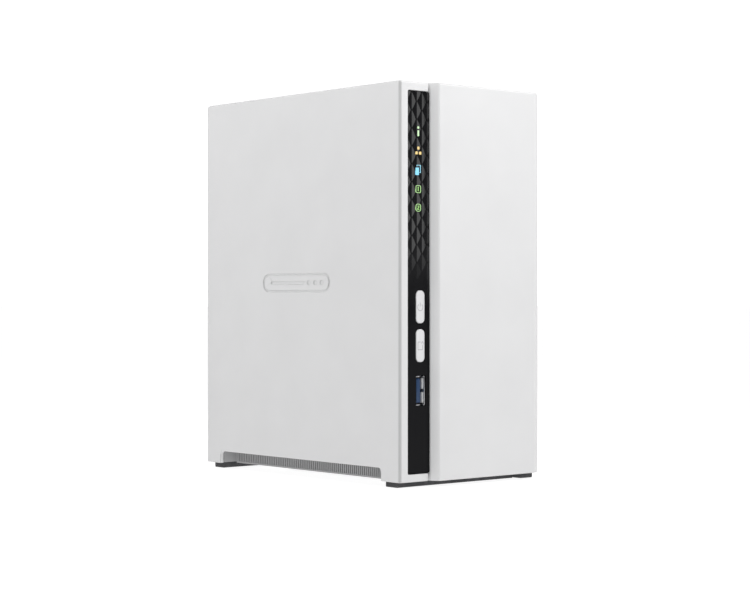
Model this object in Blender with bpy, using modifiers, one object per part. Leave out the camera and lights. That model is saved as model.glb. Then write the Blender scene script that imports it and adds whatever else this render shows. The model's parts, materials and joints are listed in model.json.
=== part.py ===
"""Two-bay network attached storage tower, built as an assembly of separate pieces.

Frame: the origin is the centre of the footprint on the surface the tower stands on.
+X is the tower's right, +Y its back and +Z up.  The dimensions below are in
millimetres, and MM turns them into Blender's metres.
"""

import math

import bmesh
import bpy
from mathutils import Matrix, Vector

MM = 0.001

# ---------------------------------------------------------------- case
WIDTH = 90.18
DEPTH = 156.26
HEIGHT = 188.64
LEFT, RIGHT = -WIDTH / 2, WIDTH / 2
FRONT, BACK = -DEPTH / 2, DEPTH / 2
WALL = 2.2
GAP = 0.3  # clearance between neighbouring pieces
FOOT_HEIGHT = 3.0
CASE_BOTTOM_Z = 3.1
INNER_LEFT, INNER_RIGHT = LEFT + WALL, RIGHT - WALL
INNER_TOP = HEIGHT - WALL

# ---------------------------------------------------------------- front
PANEL_STEP = 3.67  # the right front panel stands this far proud of the left frame
FRAME_Y = FRONT + PANEL_STEP
FRAME_BACK_Y = FRAME_Y + WALL
SEAM_LEFT_X = -27.4
SEAM_RIGHT_X = -25.9
BEVEL = ((-24.4, FRONT + 0.8), (-23.4, FRONT))  # two facets beside the strip
STRIP_LEFT_X = -40.12
STRIP_BOTTOM_Z, STRIP_TOP_Z = 6.6, 184.5
STRIP_RECESS = 0.5
STRIP_Y = FRAME_Y + STRIP_RECESS
STRIP_BACK_Y = STRIP_Y + 3.1
FRONT_CORNER_RADIUS = 6.5
FRAME_CORNER_RADIUS = 1.4
BACK_CORNER_RADIUS = 2.0
TOP_EDGE_RADIUS = 1.2
BOTTOM_EDGE_RADIUS = 0.3

# ---------------------------------------------------------------- controls
LIGHT_X = -33.19
BUTTON_X = -31.9
BUTTON_WIDTH = 5.28
BUTTON_HEIGHT = 15.33
BUTTON_END_RADIUS = 2.2
POWER_Z = 84.16
COPY_Z = 66.16
BUTTON_FACE_Y = STRIP_Y - 0.15
BUTTON_FLANGE_Y = STRIP_BACK_Y + 0.5
LIGHT_Z = (165.4, 156.4, 147.6, 138.8, 130.2)
LIGHT_SIZE = 5.0
LIGHT_POCKET_Y = STRIP_Y + 1.0  # the lights' pockets reach this close to the face
FRONT_USB_Z = 45.25
FRONT_USB_LENGTH = 13.6
FRONT_USB_BACK_Y = -55.7
SWITCH_Y = (-66.0, -60.0)
SWITCH_LEFT_X = -36.2
SWITCH_HALF = 3.0

# ---------------------------------------------------------------- side intake
INTAKE_Y = (-61.0, 65.8)
INTAKE_TOP_Z = 9.3
INTAKE_CORNER_RADIUS = 1.8
INTAKE_WALL_X = -34.6
INTAKE_WALL = 1.8
INTAKE_SKIRT_Z = 2.65  # the wall with the slots hangs a little lower than the floor
SLOT_BOTTOM_Z = 3.5
SLOT_PITCH = 1.5
SLOT_WIDTH = 0.7

# ---------------------------------------------------------------- base and back
TRAY_BOTTOM_Z = FOOT_HEIGHT + GAP
TRAY_TOP_Z = TRAY_BOTTOM_Z + 2.0
TRAY_Y = (-71.6, 74.2)
PANEL_IN_Y = 74.6
PANEL_OUT_Y = 76.6
HEAD_Y = PANEL_OUT_Y + GAP  # underside of the screw heads on the back
FAN_X, FAN_Z = 1.0, 138.0
FAN_SIZE = 80.0
FAN_Y = (49.2, 74.2)
FAN_HOLE_PITCH = 71.5
FAN_DUCT_RADIUS = 38.4
COVER_SCREWS = ((39.6, 182.8), (39.6, 11.5))

# ---------------------------------------------------------------- boards
BOARD_LEFT_X, BOARD_RIGHT_X = -28.6, -27.0
BOARD_BOTTOM_Z, BOARD_TOP_Z = 12.0, 172.0
BOARD_STEP_Z = 94.0
PART_X = BOARD_LEFT_X - GAP  # where components sit on the mainboard
BOARD_SCREWS = ((-45.0, 28.0), (-45.0, 160.0), (36.0, 84.0))
RISER_Z = (17.0, 18.6)
RISER_Y = (-32.0, 17.0)

# ---------------------------------------------------------------- drives and cage
DRIVE = (26.1, 101.6, 147.0)
DRIVE_LEFT_X = (-21.9, 7.2)
DRIVE_FRONT_Y = -59.0
DRIVE_BOTTOM_Z = 27.0
SIDE_HOLE_X = 6.35  # a drive's side holes, from its board side
SIDE_HOLE_Z = (28.5, 130.1)  # and from its connector end
CAGE_SHEET = 1.0
CAGE_X = (-23.8, 35.0)
CAGE_Y = (-60.5, 47.5)
CAGE_Z = (15.0, 176.0)
BASE_SCREWS = ((-16.0, -46.0), (27.0, -46.0), (-16.0, 38.0), (27.0, 38.0))
BASE_HEAD_Z = 7.0  # the base screws' heads press up against this height in the posts

# ---------------------------------------------------------------- rear ports
PORT_OUT_Y = PANEL_OUT_Y - 0.2
LAN_Z = (27.0, 43.0)
LAN_LEFT_X = -41.2
REAR_USB_Z = (53.55, 70.05)
REAR_USB_LENGTH, REAR_USB_INNER_Y = 13.2, 59.0
USB_THICKNESS = 5.4
INLET_LEFT_X, INLET_INNER_Y = -38.0, 62.4
INLET_Z, INLET_HALF = 18.5, 4.5
RESET_X, RESET_Z = -33.19, 82.5

M3_SHANK = 1.4
M3_BORE = 1.7

# ---------------------------------------------------------------- colours
WHITE = (0.80, 0.80, 0.81)
CHARCOAL = (0.035, 0.035, 0.04)
BLACK = (0.015, 0.015, 0.017)
STEEL = (0.62, 0.63, 0.65)
BOARD_GREEN = (0.02, 0.12, 0.06)
USB_BLUE = (0.02, 0.12, 0.40)


# ---------------------------------------------------------------- helpers
def clear_scene():
    """Empty the scene, whatever it held."""
    for obj in list(bpy.data.objects):
        bpy.data.objects.remove(obj, do_unlink=True)


def new_collection(name):
    collection = bpy.data.collections.new(name)
    bpy.context.scene.collection.children.link(collection)
    return collection


clear_scene()
PARTS = new_collection("network_attached_storage")
TOOLS = new_collection("cutters")


def add_box(form, low, high):
    """Add a box between two opposite corners to a bmesh."""
    low, high = Vector(low), Vector(high)
    made = bmesh.ops.create_cube(form, size=1.0)["verts"]
    bmesh.ops.scale(form, verts=made, vec=high - low)
    bmesh.ops.translate(form, verts=made, vec=(low + high) / 2)


TURN_TO = {
    "X": Matrix.Rotation(math.pi / 2, 3, "Y"),
    "Y": Matrix.Rotation(-math.pi / 2, 3, "X"),
    "Z": Matrix.Identity(3),
}


def add_cylinder(form, start, axis, radius, length, sides):
    """Add a cylinder that runs from start along +axis to a bmesh."""
    made = bmesh.ops.create_cone(
        form, cap_ends=True, segments=sides, radius1=radius, radius2=radius, depth=length
    )["verts"]
    bmesh.ops.translate(form, verts=made, vec=(0, 0, length / 2))
    bmesh.ops.rotate(form, verts=made, matrix=TURN_TO[axis])
    bmesh.ops.translate(form, verts=made, vec=start)


def finish_form(name, form, origin=(0, 0, 0), collection=PARTS):
    """Turn a bmesh drawn in millimetres into an object with its origin at the given point."""
    bmesh.ops.translate(form, verts=form.verts, vec=-Vector(origin))
    bmesh.ops.scale(form, verts=form.verts, vec=(MM, MM, MM))
    mesh = bpy.data.meshes.new(name)
    form.to_mesh(mesh)
    form.free()
    obj = bpy.data.objects.new(name, mesh)
    obj.location = Vector(origin) * MM
    collection.objects.link(obj)
    return obj


def as_tool(obj):
    obj.hide_render = True
    obj.display_type = "WIRE"
    return obj


def middle(low, high):
    return [(a + b) / 2 for a, b in zip(low, high)]


def box(name, low, high, bevel=0.0, segments=2):
    """A box node, with every edge rounded if bevel is given."""
    form = bmesh.new()
    add_box(form, low, high)
    if bevel:
        bmesh.ops.bevel(
            form, geom=form.edges[:], offset=bevel, segments=segments, profile=0.5, affect="EDGES"
        )
    return finish_form(name, form, middle(low, high))


def boxes_tool(name, corners):
    """One cutter made of separate boxes."""
    form = bmesh.new()
    for low, high in corners:
        add_box(form, low, high)
    return as_tool(finish_form(name, form, collection=TOOLS))


def cylinders_tool(name, starts, axis, radius, length, sides=12):
    """One cutter made of separate equal cylinders."""
    form = bmesh.new()
    for start in starts:
        add_cylinder(form, start, axis, radius, length, sides)
    return as_tool(finish_form(name, form, collection=TOOLS))


def combine(target, tool, operation):
    change = target.modifiers.new(f"{operation.lower()}_{tool.name}", "BOOLEAN")
    change.operation = operation
    change.solver = "EXACT"
    change.object = tool


def cut(target, *tools):
    for tool in tools:
        combine(target, tool, "DIFFERENCE")


def join(target, *tools):
    for tool in tools:
        combine(target, tool, "UNION")


def arc(centre_u, centre_v, radius, start, end, steps):
    """Points on an arc, from angle start to angle end in degrees."""
    angles = [math.radians(start + (end - start) * i / steps) for i in range(steps + 1)]
    return [(centre_u + radius * math.cos(a), centre_v + radius * math.sin(a)) for a in angles]


def circle(centre_u, centre_v, radius, steps):
    return arc(centre_u, centre_v, radius, 0, 360, steps)[:-1]


def rounded(low, high, radius, steps=4):
    """Outline of a rectangle between two corners, with round corners."""
    (u0, v0), (u1, v1) = low, high
    corners = (
        (u1 - radius, v0 + radius, -90),
        (u1 - radius, v1 - radius, 0),
        (u0 + radius, v1 - radius, 90),
        (u0 + radius, v0 + radius, 180),
    )
    points = []
    for u, v, start in corners:
        points += arc(u, v, radius, start, start + 90, steps)
    return points


# An outline's u and v run along these directions, and it is extruded along the third.
OUTLINE_AXES = {
    "X": ((0, 1, 0), (0, 0, 1), (1, 0, 0)),
    "Y": ((1, 0, 0), (0, 0, 1), (0, -1, 0)),
    "Z": ((1, 0, 0), (0, 1, 0), (0, 0, 1)),
}


def outline_solid(name, loops, axis, low, high, collection=PARTS):
    """A flat outline, with holes where one loop lies in another, extruded from low to high."""
    curve = bpy.data.curves.new(name, "CURVE")
    curve.dimensions = "2D"
    curve.fill_mode = "BOTH"
    curve.extrude = (high - low) / 2 * MM
    for loop in loops:
        spline = curve.splines.new("POLY")
        spline.points.add(len(loop) - 1)
        for point, (u, v) in zip(spline.points, loop):
            point.co = (u * MM, v * MM, 0, 1)
        spline.use_cyclic_u = True
    flat = bpy.data.objects.new(name + "_outline", curve)
    collection.objects.link(flat)
    columns = Matrix([list(direction) for direction in OUTLINE_AXES[axis]]).transposed()
    place = {"X": (1, 0, 0), "Y": (0, 1, 0), "Z": (0, 0, 1)}[axis]
    flat.matrix_world = Matrix.Translation(Vector(place) * (low + high) / 2 * MM) @ columns.to_4x4()
    bpy.context.view_layer.update()
    graph = bpy.context.evaluated_depsgraph_get()
    mesh = bpy.data.meshes.new_from_object(flat.evaluated_get(graph))
    form = bmesh.new()
    form.from_mesh(mesh)
    bmesh.ops.remove_doubles(form, verts=form.verts, dist=1e-6)
    bmesh.ops.dissolve_limit(
        form, angle_limit=math.radians(0.5), verts=form.verts[:], edges=form.edges[:]
    )
    bmesh.ops.recalc_face_normals(form, faces=form.faces[:])
    form.to_mesh(mesh)
    form.free()
    obj = bpy.data.objects.new(name, mesh)
    obj.matrix_world = flat.matrix_world
    collection.objects.link(obj)
    bpy.data.objects.remove(flat, do_unlink=True)
    return obj


def outline_tool(name, loops, axis, low, high):
    return as_tool(outline_solid(name, loops, axis, low, high, TOOLS))


def round_edges(obj, radius, segments, chosen):
    """Round the edges of which chosen(start, end), in world millimetres, is true."""
    form = bmesh.new()
    form.from_mesh(obj.data)
    place = obj.matrix_world
    picked = []
    for edge in form.edges:
        ends = [place @ vertex.co / MM for vertex in edge.verts]
        if chosen(*ends):
            picked.append(edge)
    bmesh.ops.bevel(
        form, geom=picked, offset=radius * MM, segments=segments, profile=0.5, affect="EDGES"
    )
    form.to_mesh(obj.data)
    form.free()


def turned(name, profile, origin, direction, sides=16):
    """A turned piece: (radius, height) points from its top to its foot, height along direction."""
    form = bmesh.new()
    points = [form.verts.new((r * MM, 0, h * MM)) for r, h in profile]
    for start, end in zip(points, points[1:]):
        form.edges.new((start, end))
    mesh = bpy.data.meshes.new(name)
    form.to_mesh(mesh)
    form.free()
    obj = bpy.data.objects.new(name, mesh)
    obj.location = Vector(origin) * MM
    obj.rotation_euler = Vector(direction).to_track_quat("Z", "Y").to_euler()
    PARTS.objects.link(obj)
    turn = obj.modifiers.new("turn", "SCREW")
    turn.steps = turn.render_steps = sides
    turn.use_merge_vertices = True
    turn.merge_threshold = 0.00001
    return obj


def screw(name, seat, direction, shank_length, head_radius=2.8, head_height=1.1, shank=M3_SHANK):
    """A pan-head screw with a driver recess: its head's underside sits at seat."""
    recess_depth = head_height * 0.6
    profile = [
        (0, head_height - recess_depth),
        (head_radius * 0.4, head_height - recess_depth),
        (head_radius * 0.45, head_height),
        (head_radius * 0.85, head_height),
        (head_radius, head_height * 0.6),
        (head_radius, 0),
        (shank, 0),
        (shank, -shank_length + shank),
        (0, -shank_length),
    ]
    obj = turned(name, profile, seat, direction, sides=12)
    paint(obj, STEEL, 0.3, 1.0)
    return obj


def paint(obj, colour, roughness, metallic=0.0):
    """Give an object its own material, and smooth shading on its round stretches."""
    material = bpy.data.materials.new(obj.name)
    material.use_nodes = True
    shader = material.node_tree.nodes["Principled BSDF"]
    shader.inputs["Base Color"].default_value = (*colour, 1.0)
    shader.inputs["Roughness"].default_value = roughness
    shader.inputs["Metallic"].default_value = metallic
    obj.data.materials.append(material)
    obj.data.shade_smooth()
    obj.data.set_sharp_from_angle(angle=math.radians(32))
    return obj


# ---------------------------------------------------------------- case
def side_mark(name):
    """Cutter for the plain pill-shaped mark that is sunk into the left side."""
    centre_y, centre_z = 2.8, 95.8
    half_length, half_height, stroke, depth = 26.5, 4.6, 1.0, 0.4
    outer = rounded(
        (centre_y - half_length, centre_z - half_height),
        (centre_y + half_length, centre_z + half_height),
        half_height - 0.01,
        6,
    )
    inner = rounded(
        (centre_y - half_length + stroke, centre_z - half_height + stroke),
        (centre_y + half_length - stroke, centre_z + half_height - stroke),
        half_height - stroke - 0.01,
        6,
    )
    bar = rounded((centre_y - 6, centre_z - 0.8), (centre_y + 20, centre_z + 0.8), 0.79, 4)
    dots = [circle(centre_y - 20 + 5 * i, centre_z, 1.2, 12) for i in range(3)]
    return outline_tool(name, [outer, inner, bar, *dots], "X", LEFT - 1, LEFT + depth)


def round_outline(cover, off_seam):
    """Round a cover's outer edges along its top and bottom, but not along the seam."""

    def at_top(start, end):
        return min(start.z, end.z) > HEIGHT - 0.01 and off_seam(start, end)

    def at_bottom(start, end):
        return max(start.z, end.z) < CASE_BOTTOM_Z + 0.01 and off_seam(start, end)

    round_edges(cover, TOP_EDGE_RADIUS, 3, at_top)
    round_edges(cover, BOTTOM_EDGE_RADIUS, 2, at_bottom)


def left_cover():
    """Left side, the frame round the front strip and the left strip of the top, in one shell."""
    plan = (
        arc(
            LEFT + FRAME_CORNER_RADIUS,
            FRAME_Y + FRAME_CORNER_RADIUS,
            FRAME_CORNER_RADIUS,
            180,
            270,
            4,
        )
        + [(SEAM_LEFT_X, FRAME_Y), (SEAM_LEFT_X, BACK)]
        + arc(
            LEFT + BACK_CORNER_RADIUS,
            BACK - BACK_CORNER_RADIUS,
            BACK_CORNER_RADIUS,
            90,
            180,
            4,
        )
    )
    cover = outline_solid("left_cover", [plan], "Z", CASE_BOTTOM_Z, HEIGHT)

    def off_seam(start, end):
        return min(start.x, end.x) < SEAM_LEFT_X - 0.01

    round_outline(cover, off_seam)
    lip_left, lip_right, lip_bottom = -30.0, -24.2, 184.2
    lip = [
        (lip_left, lip_bottom),
        (lip_right, lip_bottom),
        (lip_right, INNER_TOP - GAP),
        (SEAM_LEFT_X - GAP, INNER_TOP - GAP),
        (SEAM_LEFT_X - GAP, INNER_TOP + 1),
        (lip_left, INNER_TOP + 1),
    ]
    cavity = boxes_tool(
        "left_cavity", [((INNER_LEFT, FRAME_BACK_Y, -5), (0, BACK + 5, INNER_TOP))]
    )
    window = outline_tool(
        "front_window",
        [rounded((STRIP_LEFT_X, STRIP_BOTTOM_Z), (-10, STRIP_TOP_Z), 1.0)],
        "Y",
        FRAME_Y - 5,
        FRAME_BACK_Y + 5,
    )
    notch = outline_tool(
        "intake_notch",
        [rounded((INTAKE_Y[0], -5), (INTAKE_Y[1], INTAKE_TOP_Z), INTAKE_CORNER_RADIUS)],
        "X",
        LEFT - 5,
        INNER_LEFT + 1,
    )
    cut(cover, cavity, window, notch, side_mark("side_mark"))
    join(cover, outline_tool("seam_lip", [lip], "Y", -70.2, TRAY_Y[1]))
    paint(cover, WHITE, 0.45)


def right_cover():
    """Proud front panel, right side and most of the top; it slides forward off the tower."""
    inner_radius = FRONT_CORNER_RADIUS - WALL
    panel_back_y = FRONT + 2.4
    plan = (
        [(SEAM_RIGHT_X, BACK), (SEAM_RIGHT_X, FRAME_Y), *BEVEL]
        + arc(
            RIGHT - FRONT_CORNER_RADIUS,
            FRONT + FRONT_CORNER_RADIUS,
            FRONT_CORNER_RADIUS,
            270,
            360,
            8,
        )
        + arc(
            RIGHT - BACK_CORNER_RADIUS,
            BACK - BACK_CORNER_RADIUS,
            BACK_CORNER_RADIUS,
            0,
            90,
            4,
        )
    )
    cover = outline_solid("right_cover", [plan], "Z", CASE_BOTTOM_Z, HEIGHT)

    def off_seam(start, end):
        return max(start.x, end.x) > SEAM_RIGHT_X + 0.01

    round_outline(cover, off_seam)
    hollow = (
        [(-32, BACK + 5), (-32, -72.0), (-24.0, -72.0), (-22.2, panel_back_y)]
        + arc(INNER_RIGHT - inner_radius, panel_back_y + inner_radius, inner_radius, 270, 360, 6)
        + [(INNER_RIGHT, BACK + 5)]
    )
    cut(cover, outline_tool("right_cavity", [hollow], "Z", -5, INNER_TOP))
    boss_left_x, boss_front_y, boss_back_y = 36.4, 66.0, TRAY_Y[1]
    half_boss = 3.3
    bosses = []
    for _, z in COVER_SCREWS:
        top = min(z + half_boss, INNER_TOP + 0.5) if z < HEIGHT / 2 else INNER_TOP + 0.5
        low = (boss_left_x, boss_front_y, z - half_boss)
        bosses.append((low, (INNER_RIGHT + 0.5, boss_back_y, top)))
    rail = ((40.5, -68.0, TRAY_TOP_Z + GAP), (INNER_RIGHT + 0.5, boss_back_y, TRAY_TOP_Z + 1.8))
    join(cover, boxes_tool("cover_bosses", [*bosses, rail]))
    starts = [(x, boss_front_y + 1, z) for x, z in COVER_SCREWS]
    cut(cover, cylinders_tool("cover_bores", starts, "Y", M3_BORE, 12))
    paint(cover, WHITE, 0.45)


def indicator_strip():
    """Smoked panel behind the left frame: windows for the lights, buttons and USB port."""
    strip = outline_solid(
        "indicator_strip",
        [
            rounded(
                (STRIP_LEFT_X + GAP, STRIP_BOTTOM_Z + GAP),
                (SEAM_RIGHT_X - GAP, STRIP_TOP_Z - GAP),
                0.8,
            )
        ],
        "Y",
        STRIP_Y,
        STRIP_BACK_Y,
    )
    flange = boxes_tool(
        "strip_flange",
        [((-41.8, FRAME_BACK_Y + GAP, 5.8), (-27.2, STRIP_BACK_Y, 185.9))],
    )
    holes = []
    clear = BUTTON_WIDTH / 2 + GAP
    tall = BUTTON_HEIGHT / 2 + GAP
    for z in (POWER_Z, COPY_Z):
        holes.append(rounded((BUTTON_X - clear, z - tall), (BUTTON_X + clear, z + tall), 2.5))
    tall = FRONT_USB_LENGTH / 2 + GAP
    low = (PART_X - USB_THICKNESS - GAP, FRONT_USB_Z - tall)
    high = (PART_X + GAP, FRONT_USB_Z + tall)
    holes.append(rounded(low, high, 0.4, 2))
    half = LIGHT_SIZE / 2 + GAP
    pockets = [
        (
            (LIGHT_X - half, LIGHT_POCKET_Y, z - half),
            (LIGHT_X + half, STRIP_BACK_Y + 1, z + half),
        )
        for z in LIGHT_Z
    ]
    join(strip, flange)
    cut(strip, boxes_tool("light_pockets", pockets))
    cut(strip, outline_tool("control_holes", holes, "Y", STRIP_Y - 2, STRIP_BACK_Y + 2))
    paint(strip, CHARCOAL, 0.25)


def base_tray():
    """Floor of the tower, with the recessed air intake along its left edge."""
    block_x = INTAKE_WALL_X + INTAKE_WALL
    block_top = INTAKE_TOP_Z + 1.45
    tray = box(
        "base_tray",
        (INNER_LEFT + GAP, TRAY_Y[0], TRAY_BOTTOM_Z),
        (INNER_RIGHT - GAP, TRAY_Y[1], block_top),
    )
    front_y = -70.2
    above = boxes_tool("tray_inside", [((block_x, -90, TRAY_TOP_Z), (60, 90, 30))])
    ends = boxes_tool("tray_front", [((-60, -90, TRAY_TOP_Z), (block_x + 1, front_y, 30))])
    wells = boxes_tool(
        "tray_wells",
        [
            ((-41.4, front_y + 1.2, TRAY_TOP_Z), (block_x - 1.2, INTAKE_Y[0] - 1.4, 30)),
            ((-41.4, INTAKE_Y[1] + 1.4, TRAY_TOP_Z), (block_x - 1.2, TRAY_Y[1] - 1.2, 30)),
        ],
    )
    pocket = boxes_tool(
        "intake_recess",
        [((-60, INTAKE_Y[0], -5), (INTAKE_WALL_X, INTAKE_Y[1], INTAKE_TOP_Z))],
    )
    slots = []
    for number in range(1, int((INTAKE_Y[1] - INTAKE_Y[0]) / SLOT_PITCH)):
        y = INTAKE_Y[0] + number * SLOT_PITCH
        low = (INTAKE_WALL_X - 2, y - SLOT_WIDTH / 2, SLOT_BOTTOM_Z)
        slots.append((low, (block_x + 0.2, y + SLOT_WIDTH / 2, INTAKE_TOP_Z - 0.5)))
    vents = []
    vent_width, vent_length = 2.4, 18.0
    for x in (-21.0 + 5.6 * column for column in range(9)):
        for y in (-26.0, 0.0, 26.0):
            low = (x - vent_width / 2, y - vent_length / 2, 0)
            vents.append((low, (x + vent_width / 2, y + vent_length / 2, 8)))
    skirt = (
        (INTAKE_WALL_X, -57.9, INTAKE_SKIRT_Z),
        (block_x, INTAKE_Y[1], TRAY_BOTTOM_Z + 0.5),
    )
    cut(tray, above, ends, wells, pocket)
    join(tray, boxes_tool("intake_skirt", [skirt]))
    cut(tray, boxes_tool("intake_slots", slots), boxes_tool("floor_vents", vents))
    post_radius, head_bore_radius = 4.2, 3.2
    post_bottom, post_top = TRAY_BOTTOM_Z + 0.5, CAGE_Z[0] - GAP
    posts = [(x, y, post_bottom) for x, y in BASE_SCREWS]
    join(tray, cylinders_tool("posts", posts, "Z", post_radius, post_top - post_bottom))
    bores = [(x, y, 0) for x, y in BASE_SCREWS]
    cut(tray, cylinders_tool("post_bores", bores, "Z", M3_BORE, 20))
    cut(tray, cylinders_tool("head_bores", bores, "Z", head_bore_radius, BASE_HEAD_Z))
    paint(tray, WHITE, 0.5)


def rear_panel():
    """Back plate with the fan grille, the port cut-outs and the screw holes."""
    panel = box(
        "rear_panel",
        (INNER_LEFT + GAP, PANEL_IN_Y, TRAY_BOTTOM_Z),
        (INNER_RIGHT - GAP, PANEL_OUT_Y, INNER_TOP - GAP),
    )
    start_y, length = PANEL_IN_Y - 2, 6
    hexes = []
    pitch, hex_radius, grille_radius = 8.2, 4.0, 36.5
    rows = int(grille_radius / (pitch * 0.866))
    for row in range(-rows, rows + 1):
        for column in range(-6, 7):
            x = (column + 0.5 * (row % 2)) * pitch
            z = row * pitch * math.sqrt(0.75)
            if math.hypot(x, z) + hex_radius < grille_radius + 1.5:
                hexes.append((FAN_X + x, start_y, FAN_Z + z))
    screws = [(x, start_y, z) for x, z in COVER_SCREWS]
    cut(panel, cylinders_tool("grille_holes", hexes, "Y", hex_radius, length, sides=6))
    cut(panel, cylinders_tool("fan_screw_holes", fan_corners(start_y), "Y", 2.2, length))
    cut(panel, cylinders_tool("cover_screw_holes", screws, "Y", M3_BORE, length))
    reset = [(RESET_X, start_y, RESET_Z)]
    cut(panel, cylinders_tool("reset_hole", reset, "Y", 1.9, length))
    ports = [((LAN_LEFT_X - GAP, LAN_Z[0] - GAP), (PART_X + GAP, LAN_Z[1] + GAP))]
    for z in REAR_USB_Z:
        low = (PART_X - USB_THICKNESS - GAP, z - REAR_USB_LENGTH / 2 - GAP)
        ports.append((low, (PART_X + GAP, z + REAR_USB_LENGTH / 2 + GAP)))
    half = INLET_HALF + GAP
    ports.append(((INLET_LEFT_X - GAP, INLET_Z - half), (PART_X + GAP, INLET_Z + half)))
    lock = [((-14.0, 12.5), (-7.0, 15.5))]
    outlines = [rounded(low, high, 0.6, 2) for low, high in ports + lock]
    cut(panel, outline_tool("port_holes", outlines, "Y", PANEL_IN_Y - 2, PANEL_OUT_Y + 2))
    paint(panel, WHITE, 0.5)


def feet():
    """Two dark foot bars across the bottom, and a block that hangs under the front right corner."""
    places = {
        "front_foot": ((-40.0, -66.9, 0.0), (35.8, -58.5, FOOT_HEIGHT)),
        "rear_foot": ((-40.0, 70.0, 0.0), (40.0, 77.7, FOOT_HEIGHT)),
        "corner_foot": ((34.8, -73.0, 0.3), (43.1, -67.2, FOOT_HEIGHT)),
    }
    for name, (low, high) in places.items():
        paint(box(name, low, high, bevel=0.4), CHARCOAL, 0.8)


# ---------------------------------------------------------------- controls
def button(name, z):
    """A push button: cap, retaining flange and stem.  It moves along Y."""
    half_width, half_height = BUTTON_WIDTH / 2, BUTTON_HEIGHT / 2
    outline = rounded(
        (BUTTON_X - half_width, z - half_height),
        (BUTTON_X + half_width, z + half_height),
        BUTTON_END_RADIUS,
        6,
    )
    cap = outline_solid(name, [outline], "Y", BUTTON_FACE_Y, BUTTON_FLANGE_Y + 0.3)
    round_edges(cap, 0.4, 2, lambda a, b: max(a.y, b.y) < BUTTON_FACE_Y + 0.01)
    plunger_front_y = SWITCH_Y[0] - 1.3
    stem = (
        (BUTTON_X - 2, BUTTON_FLANGE_Y + 0.8, z - 2.5),
        (BUTTON_X + 2, plunger_front_y - GAP, z + 2.5),
    )
    flange = (
        (SWITCH_LEFT_X, BUTTON_FLANGE_Y, z - 8.7),
        (PART_X, BUTTON_FLANGE_Y + 1.0, z + 8.7),
    )
    join(cap, boxes_tool(name + "_flange", [flange]))
    join(cap, boxes_tool(name + "_stem", [stem]))
    paint(cap, (0.74, 0.74, 0.76), 0.4)


def push_switch(name, z):
    """A right-angle push switch on the mainboard, and the plunger that the button pushes."""
    low = (SWITCH_LEFT_X, SWITCH_Y[0], z - SWITCH_HALF)
    housing = box(name, low, (PART_X, SWITCH_Y[1], z + SWITCH_HALF))
    bore_start = [(BUTTON_X, SWITCH_Y[0] - 1, z)]
    cut(housing, cylinders_tool(name + "_bore", bore_start, "Y", 1.8, 4.4))
    paint(housing, BLACK, 0.5)
    radius, length = 1.5, 3.5
    profile = [(0, length), (radius, length), (radius, 0), (0, 0)]
    place = (BUTTON_X, SWITCH_Y[0] - 1.3, z)
    plunger = turned(name + "_plunger", profile, place, (0, 1, 0), 12)
    paint(plunger, CHARCOAL, 0.4)


def light_guide():
    """Clear moulding that carries the five status lights from the board to the strip."""
    half = LIGHT_SIZE / 2
    rail = box(
        "light_guide",
        (-37.8, -69.6, LIGHT_Z[-1] - half),
        (LIGHT_X - half + 0.4, -67.0, LIGHT_Z[0] + half),
    )
    prongs = [
        (
            (LIGHT_X - half, LIGHT_POCKET_Y + GAP, z - half),
            (LIGHT_X + half, -66.5, z + half),
        )
        for z in LIGHT_Z
    ]
    join(rail, boxes_tool("light_prongs", prongs))
    paint(rail, (0.85, 0.88, 0.9), 0.1)


def usb_port(prefix, z, length, mouth_y, back_y, tongue_colour):
    """A USB socket on the mainboard: a folded steel shell and the insulator with its tongue."""
    sheet = 0.4
    toward_mouth = 1 if mouth_y > back_y else -1
    near, far = sorted((mouth_y, back_y))
    left_x = PART_X - USB_THICKNESS
    shell = box(
        prefix + "_shell", (left_x, near, z - length / 2), (PART_X, far, z + length / 2)
    )
    inside = (
        (left_x + sheet, near - 1, z - length / 2 + sheet),
        (PART_X - sheet, far + 1, z + length / 2 - sheet),
    )
    cut(shell, boxes_tool(prefix + "_inside", [inside]))
    paint(shell, STEEL, 0.25, 1.0)
    margin = sheet + GAP
    block_y = sorted((back_y + 0.3 * toward_mouth, back_y + 4.5 * toward_mouth))
    tongue_y = sorted((back_y + 3.5 * toward_mouth, mouth_y - 1.2 * toward_mouth))
    block = box(
        prefix + "_tongue",
        (left_x + margin, block_y[0], z - length / 2 + margin),
        (PART_X - margin, block_y[1], z + length / 2 - margin),
    )
    tongue = (
        (left_x + margin + 0.2, tongue_y[0], z - 5.9),
        (left_x + margin + 2.1, tongue_y[1], z + 5.9),
    )
    join(block, boxes_tool(prefix + "_blade", [tongue]))
    paint(block, tongue_colour, 0.4)


# ---------------------------------------------------------------- boards
def mainboard():
    """Upright board beside the drive cage, stepped back below the fan."""
    outline = [
        (-69.2, BOARD_BOTTOM_Z),
        (71.0, BOARD_BOTTOM_Z),
        (71.0, BOARD_STEP_Z),
        (44.0, BOARD_STEP_Z),
        (44.0, BOARD_TOP_Z),
        (-69.2, BOARD_TOP_Z),
    ]
    board = outline_solid("mainboard", [outline], "X", BOARD_LEFT_X, BOARD_RIGHT_X)
    holes = [(BOARD_LEFT_X - 1, y, z) for y, z in BOARD_SCREWS]
    cut(board, cylinders_tool("board_holes", holes, "X", M3_BORE, 4))
    paint(board, BOARD_GREEN, 0.4)
    for number, (y, z) in enumerate(BOARD_SCREWS, 1):
        screw(f"board_screw_{number}", (BOARD_LEFT_X - GAP, y, z), (-1, 0, 0), 4.4)


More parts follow.
